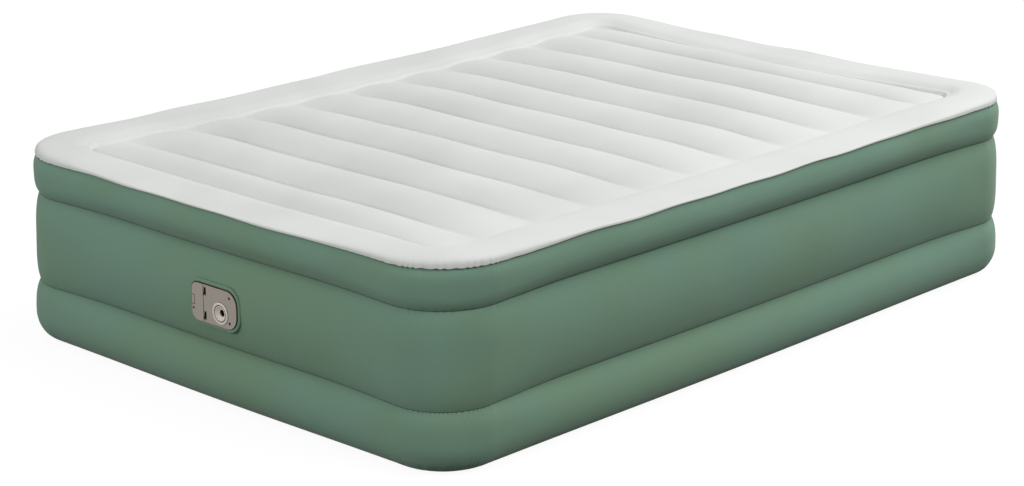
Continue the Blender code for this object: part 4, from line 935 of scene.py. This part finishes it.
def face_centres(node):
    """Middle of each face of a solid, in the shared frame."""
    solid = frame["nodes"][node]
    middle = np.empty(len(solid.data.polygons) * 3, dtype=np.float32)
    solid.data.polygons.foreach_get("center", middle)
    return middle.reshape(-1, 3) + np.array(solid.matrix_world.translation)


def paint_gap_shade(node, shaded):
    """Painted shade: give the faces of a solid that lie in a gap the black rubber finish."""
    mesh = frame["nodes"][node].data
    mesh.materials.append(finish_for("black_rubber"))
    mesh.polygons.foreach_set("material_index", shaded.astype(np.int32))


class MATTRESS_OT_pump(bpy.types.Operator):
    """Finish the pump: soft welded collar, and moulded, rubber and steel finishes on its solids"""

    bl_idname = "mattress.pump"
    bl_label = "Pump"

    def execute(self, context):
        """Lay a soft lip round the panel, finish each solid by its slot, paint shade in the door's gaps."""
        points = collar_points()
        faces = grid_faces(*points.shape[:2], True)[:, ::-1]
        piece = add_piece("collar_lip", points, faces, "green_flock", "mattress")
        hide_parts("pump_collar")
        for row in frame["record"]["subparts"]:
            solid = frame["nodes"][row["node"]]
            solid.data.materials.clear()
            solid.data.materials.append(finish_for(row["material_slot"]))
        # Painted shade: the hinge tongues, the latch notch and the latch's sunk faces get the black finish.
        x, y, z = face_centres("cord_door").T
        low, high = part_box("door_latch")
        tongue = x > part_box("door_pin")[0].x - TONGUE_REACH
        beside = (x < high.x + NOTCH_REACH) & (np.abs(z - 0.5 * (low.z + high.z)) < NOTCH_HALF)
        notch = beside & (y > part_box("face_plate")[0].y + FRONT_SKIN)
        paint_gap_shade("cord_door", tongue | notch)
        paint_gap_shade("door_latch", face_centres("door_latch")[:, 1] > low.y + FRONT_SKIN)
        return {"FINISHED"}


def seen_directly(tree):
    """One for rays from the camera, straight or by way of gloss or glass, and none for soft light."""
    rays = add(tree, "ShaderNodeLightPath").outputs
    larger = {"operation": "MAXIMUM"}
    sharp = add(tree, "ShaderNodeMath", larger, i0=rays["Is Glossy Ray"], i1=rays["Is Transmission Ray"])
    seen = add(tree, "ShaderNodeMath", larger, i0=rays["Is Camera Ray"], i1=sharp.outputs[0])
    return seen.outputs[0]


def soft_lamp(name, place, target, width, height, power):
    """Large flat lamp that looks at a target, as a softbox does."""
    data = bpy.data.lights.new(name, "AREA")
    data.shape = "RECTANGLE"
    data.size = width
    data.size_y = height
    data.energy = power
    lamp = bpy.data.objects.new(name, data)
    lamp.location = place
    lamp.rotation_euler = (Vector(target) - Vector(place)).to_track_quat("-Z", "Y").to_euler()
    bpy.context.scene.collection.objects.link(lamp)


def white_floor():
    """Painted studio floor: most of its white is its own glow to the camera, so shadows stay soft."""
    made, tree = fresh_material("matt_studio_paint")
    paint = add(tree, "ShaderNodeBsdfDiffuse", Color=linear("#606060"))
    glow = add(tree, "ShaderNodeEmission", Strength=STUDIO_FLOOR_GLOW)
    both = add(tree, "ShaderNodeAddShader", i0=paint.outputs[0], i1=glow.outputs[0])
    mixed = add(
        tree, "ShaderNodeMixShader", i0=seen_directly(tree), i1=paint.outputs[0], i2=both.outputs[0]
    )
    add(tree, "ShaderNodeOutputMaterial", Surface=mixed.outputs[0])
    return made


def studio_sky():
    """White sky that looks fully white to the camera and gives a softer light."""
    world = bpy.data.worlds.new("studio_sky")
    world.use_nodes = True
    tree = world.node_tree
    tree.nodes.clear()
    strength = add(tree, "ShaderNodeMapRange", Value=seen_directly(tree), To_Min=SKY_LIGHT, To_Max=1.0)
    sky = add(tree, "ShaderNodeBackground", Color=linear("#FFFFFF"), Strength=strength.outputs[0])
    add(tree, "ShaderNodeOutputWorld", Surface=sky.outputs[0])
    return world


class MATTRESS_OT_stage(bpy.types.Operator):
    """Set the studio: white floor, soft light and the camera"""

    bl_idname = "mattress.stage"
    bl_label = "Studio"

    def execute(self, context):
        """Lay the floor, light it from the sky and three softboxes, and aim the camera."""
        scene = context.scene
        scene.view_settings.view_transform = "Standard"
        mesh = bpy.data.meshes.new("studio_floor")
        side = STUDIO_FLOOR_HALF
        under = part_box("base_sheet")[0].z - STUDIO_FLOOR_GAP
        mesh.from_pydata(
            [(-side, -side, under), (side, -side, under), (side, side, under), (-side, side, under)], [],
            [(0, 1, 2, 3)],
        )
        mesh.materials.append(white_floor())
        floor = bpy.data.objects.new("studio_floor", mesh)
        scene.collection.objects.link(floor)
        scene.world = studio_sky()
        for softbox in SOFTBOXES:
            soft_lamp(*softbox)

        data = bpy.data.cameras.new("photo_camera")
        data.lens = CAMERA_LENS
        data.sensor_width = CAMERA_SENSOR
        camera = bpy.data.objects.new("photo_camera", data)
        camera.location = CAMERA_PLACE
        aim = Vector(CAMERA_TARGET) - camera.location
        camera.rotation_euler = aim.to_track_quat("-Z", "Y").to_euler()
        scene.collection.objects.link(camera)
        scene.camera = camera
        return {"FINISHED"}


OPERATORS = (
    MATTRESS_OT_stage,
    MATTRESS_OT_pump,
    MATTRESS_OT_walls,
    MATTRESS_OT_sleeping_top,
    MATTRESS_OT_base,
)


class MATTRESS_PT_panel(bpy.types.Panel):
    """Sizes, colours and steps of the mattress"""

    bl_idname = "MATTRESS_PT_panel"
    bl_label = "Air mattress"
    bl_space_type = "VIEW_3D"
    bl_region_type = "UI"
    bl_category = "Mattress"

    def draw(self, context):
        """List the sizes and colours, and one button for each step."""
        for group in (context.scene.mattress_sizes, context.scene.mattress_colours):
            box = self.layout.box()
            for key in type(group).__annotations__:
                box.prop(group, key)
        for step in OPERATORS:
            self.layout.operator(step.bl_idname)


CLASSES = (MattressSizes, MattressColours, *OPERATORS, MATTRESS_PT_panel)


def register():
    """Register the classes and hang the settings on the scene."""
    for kind in CLASSES:
        bpy.utils.register_class(kind)
    bpy.types.Scene.mattress_sizes = bpy.props.PointerProperty(type=MattressSizes)
    bpy.types.Scene.mattress_colours = bpy.props.PointerProperty(type=MattressColours)


def unregister():
    """Take the settings and the classes away again."""
    del bpy.types.Scene.mattress_sizes
    del bpy.types.Scene.mattress_colours
    for kind in reversed(CLASSES):
        bpy.utils.unregister_class(kind)


def main():
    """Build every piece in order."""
    register()
    for step in OPERATORS:
        group, name = step.bl_idname.split(".")
        getattr(getattr(bpy.ops, group), name)()
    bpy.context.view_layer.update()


if __name__ == "__main__":
    main()
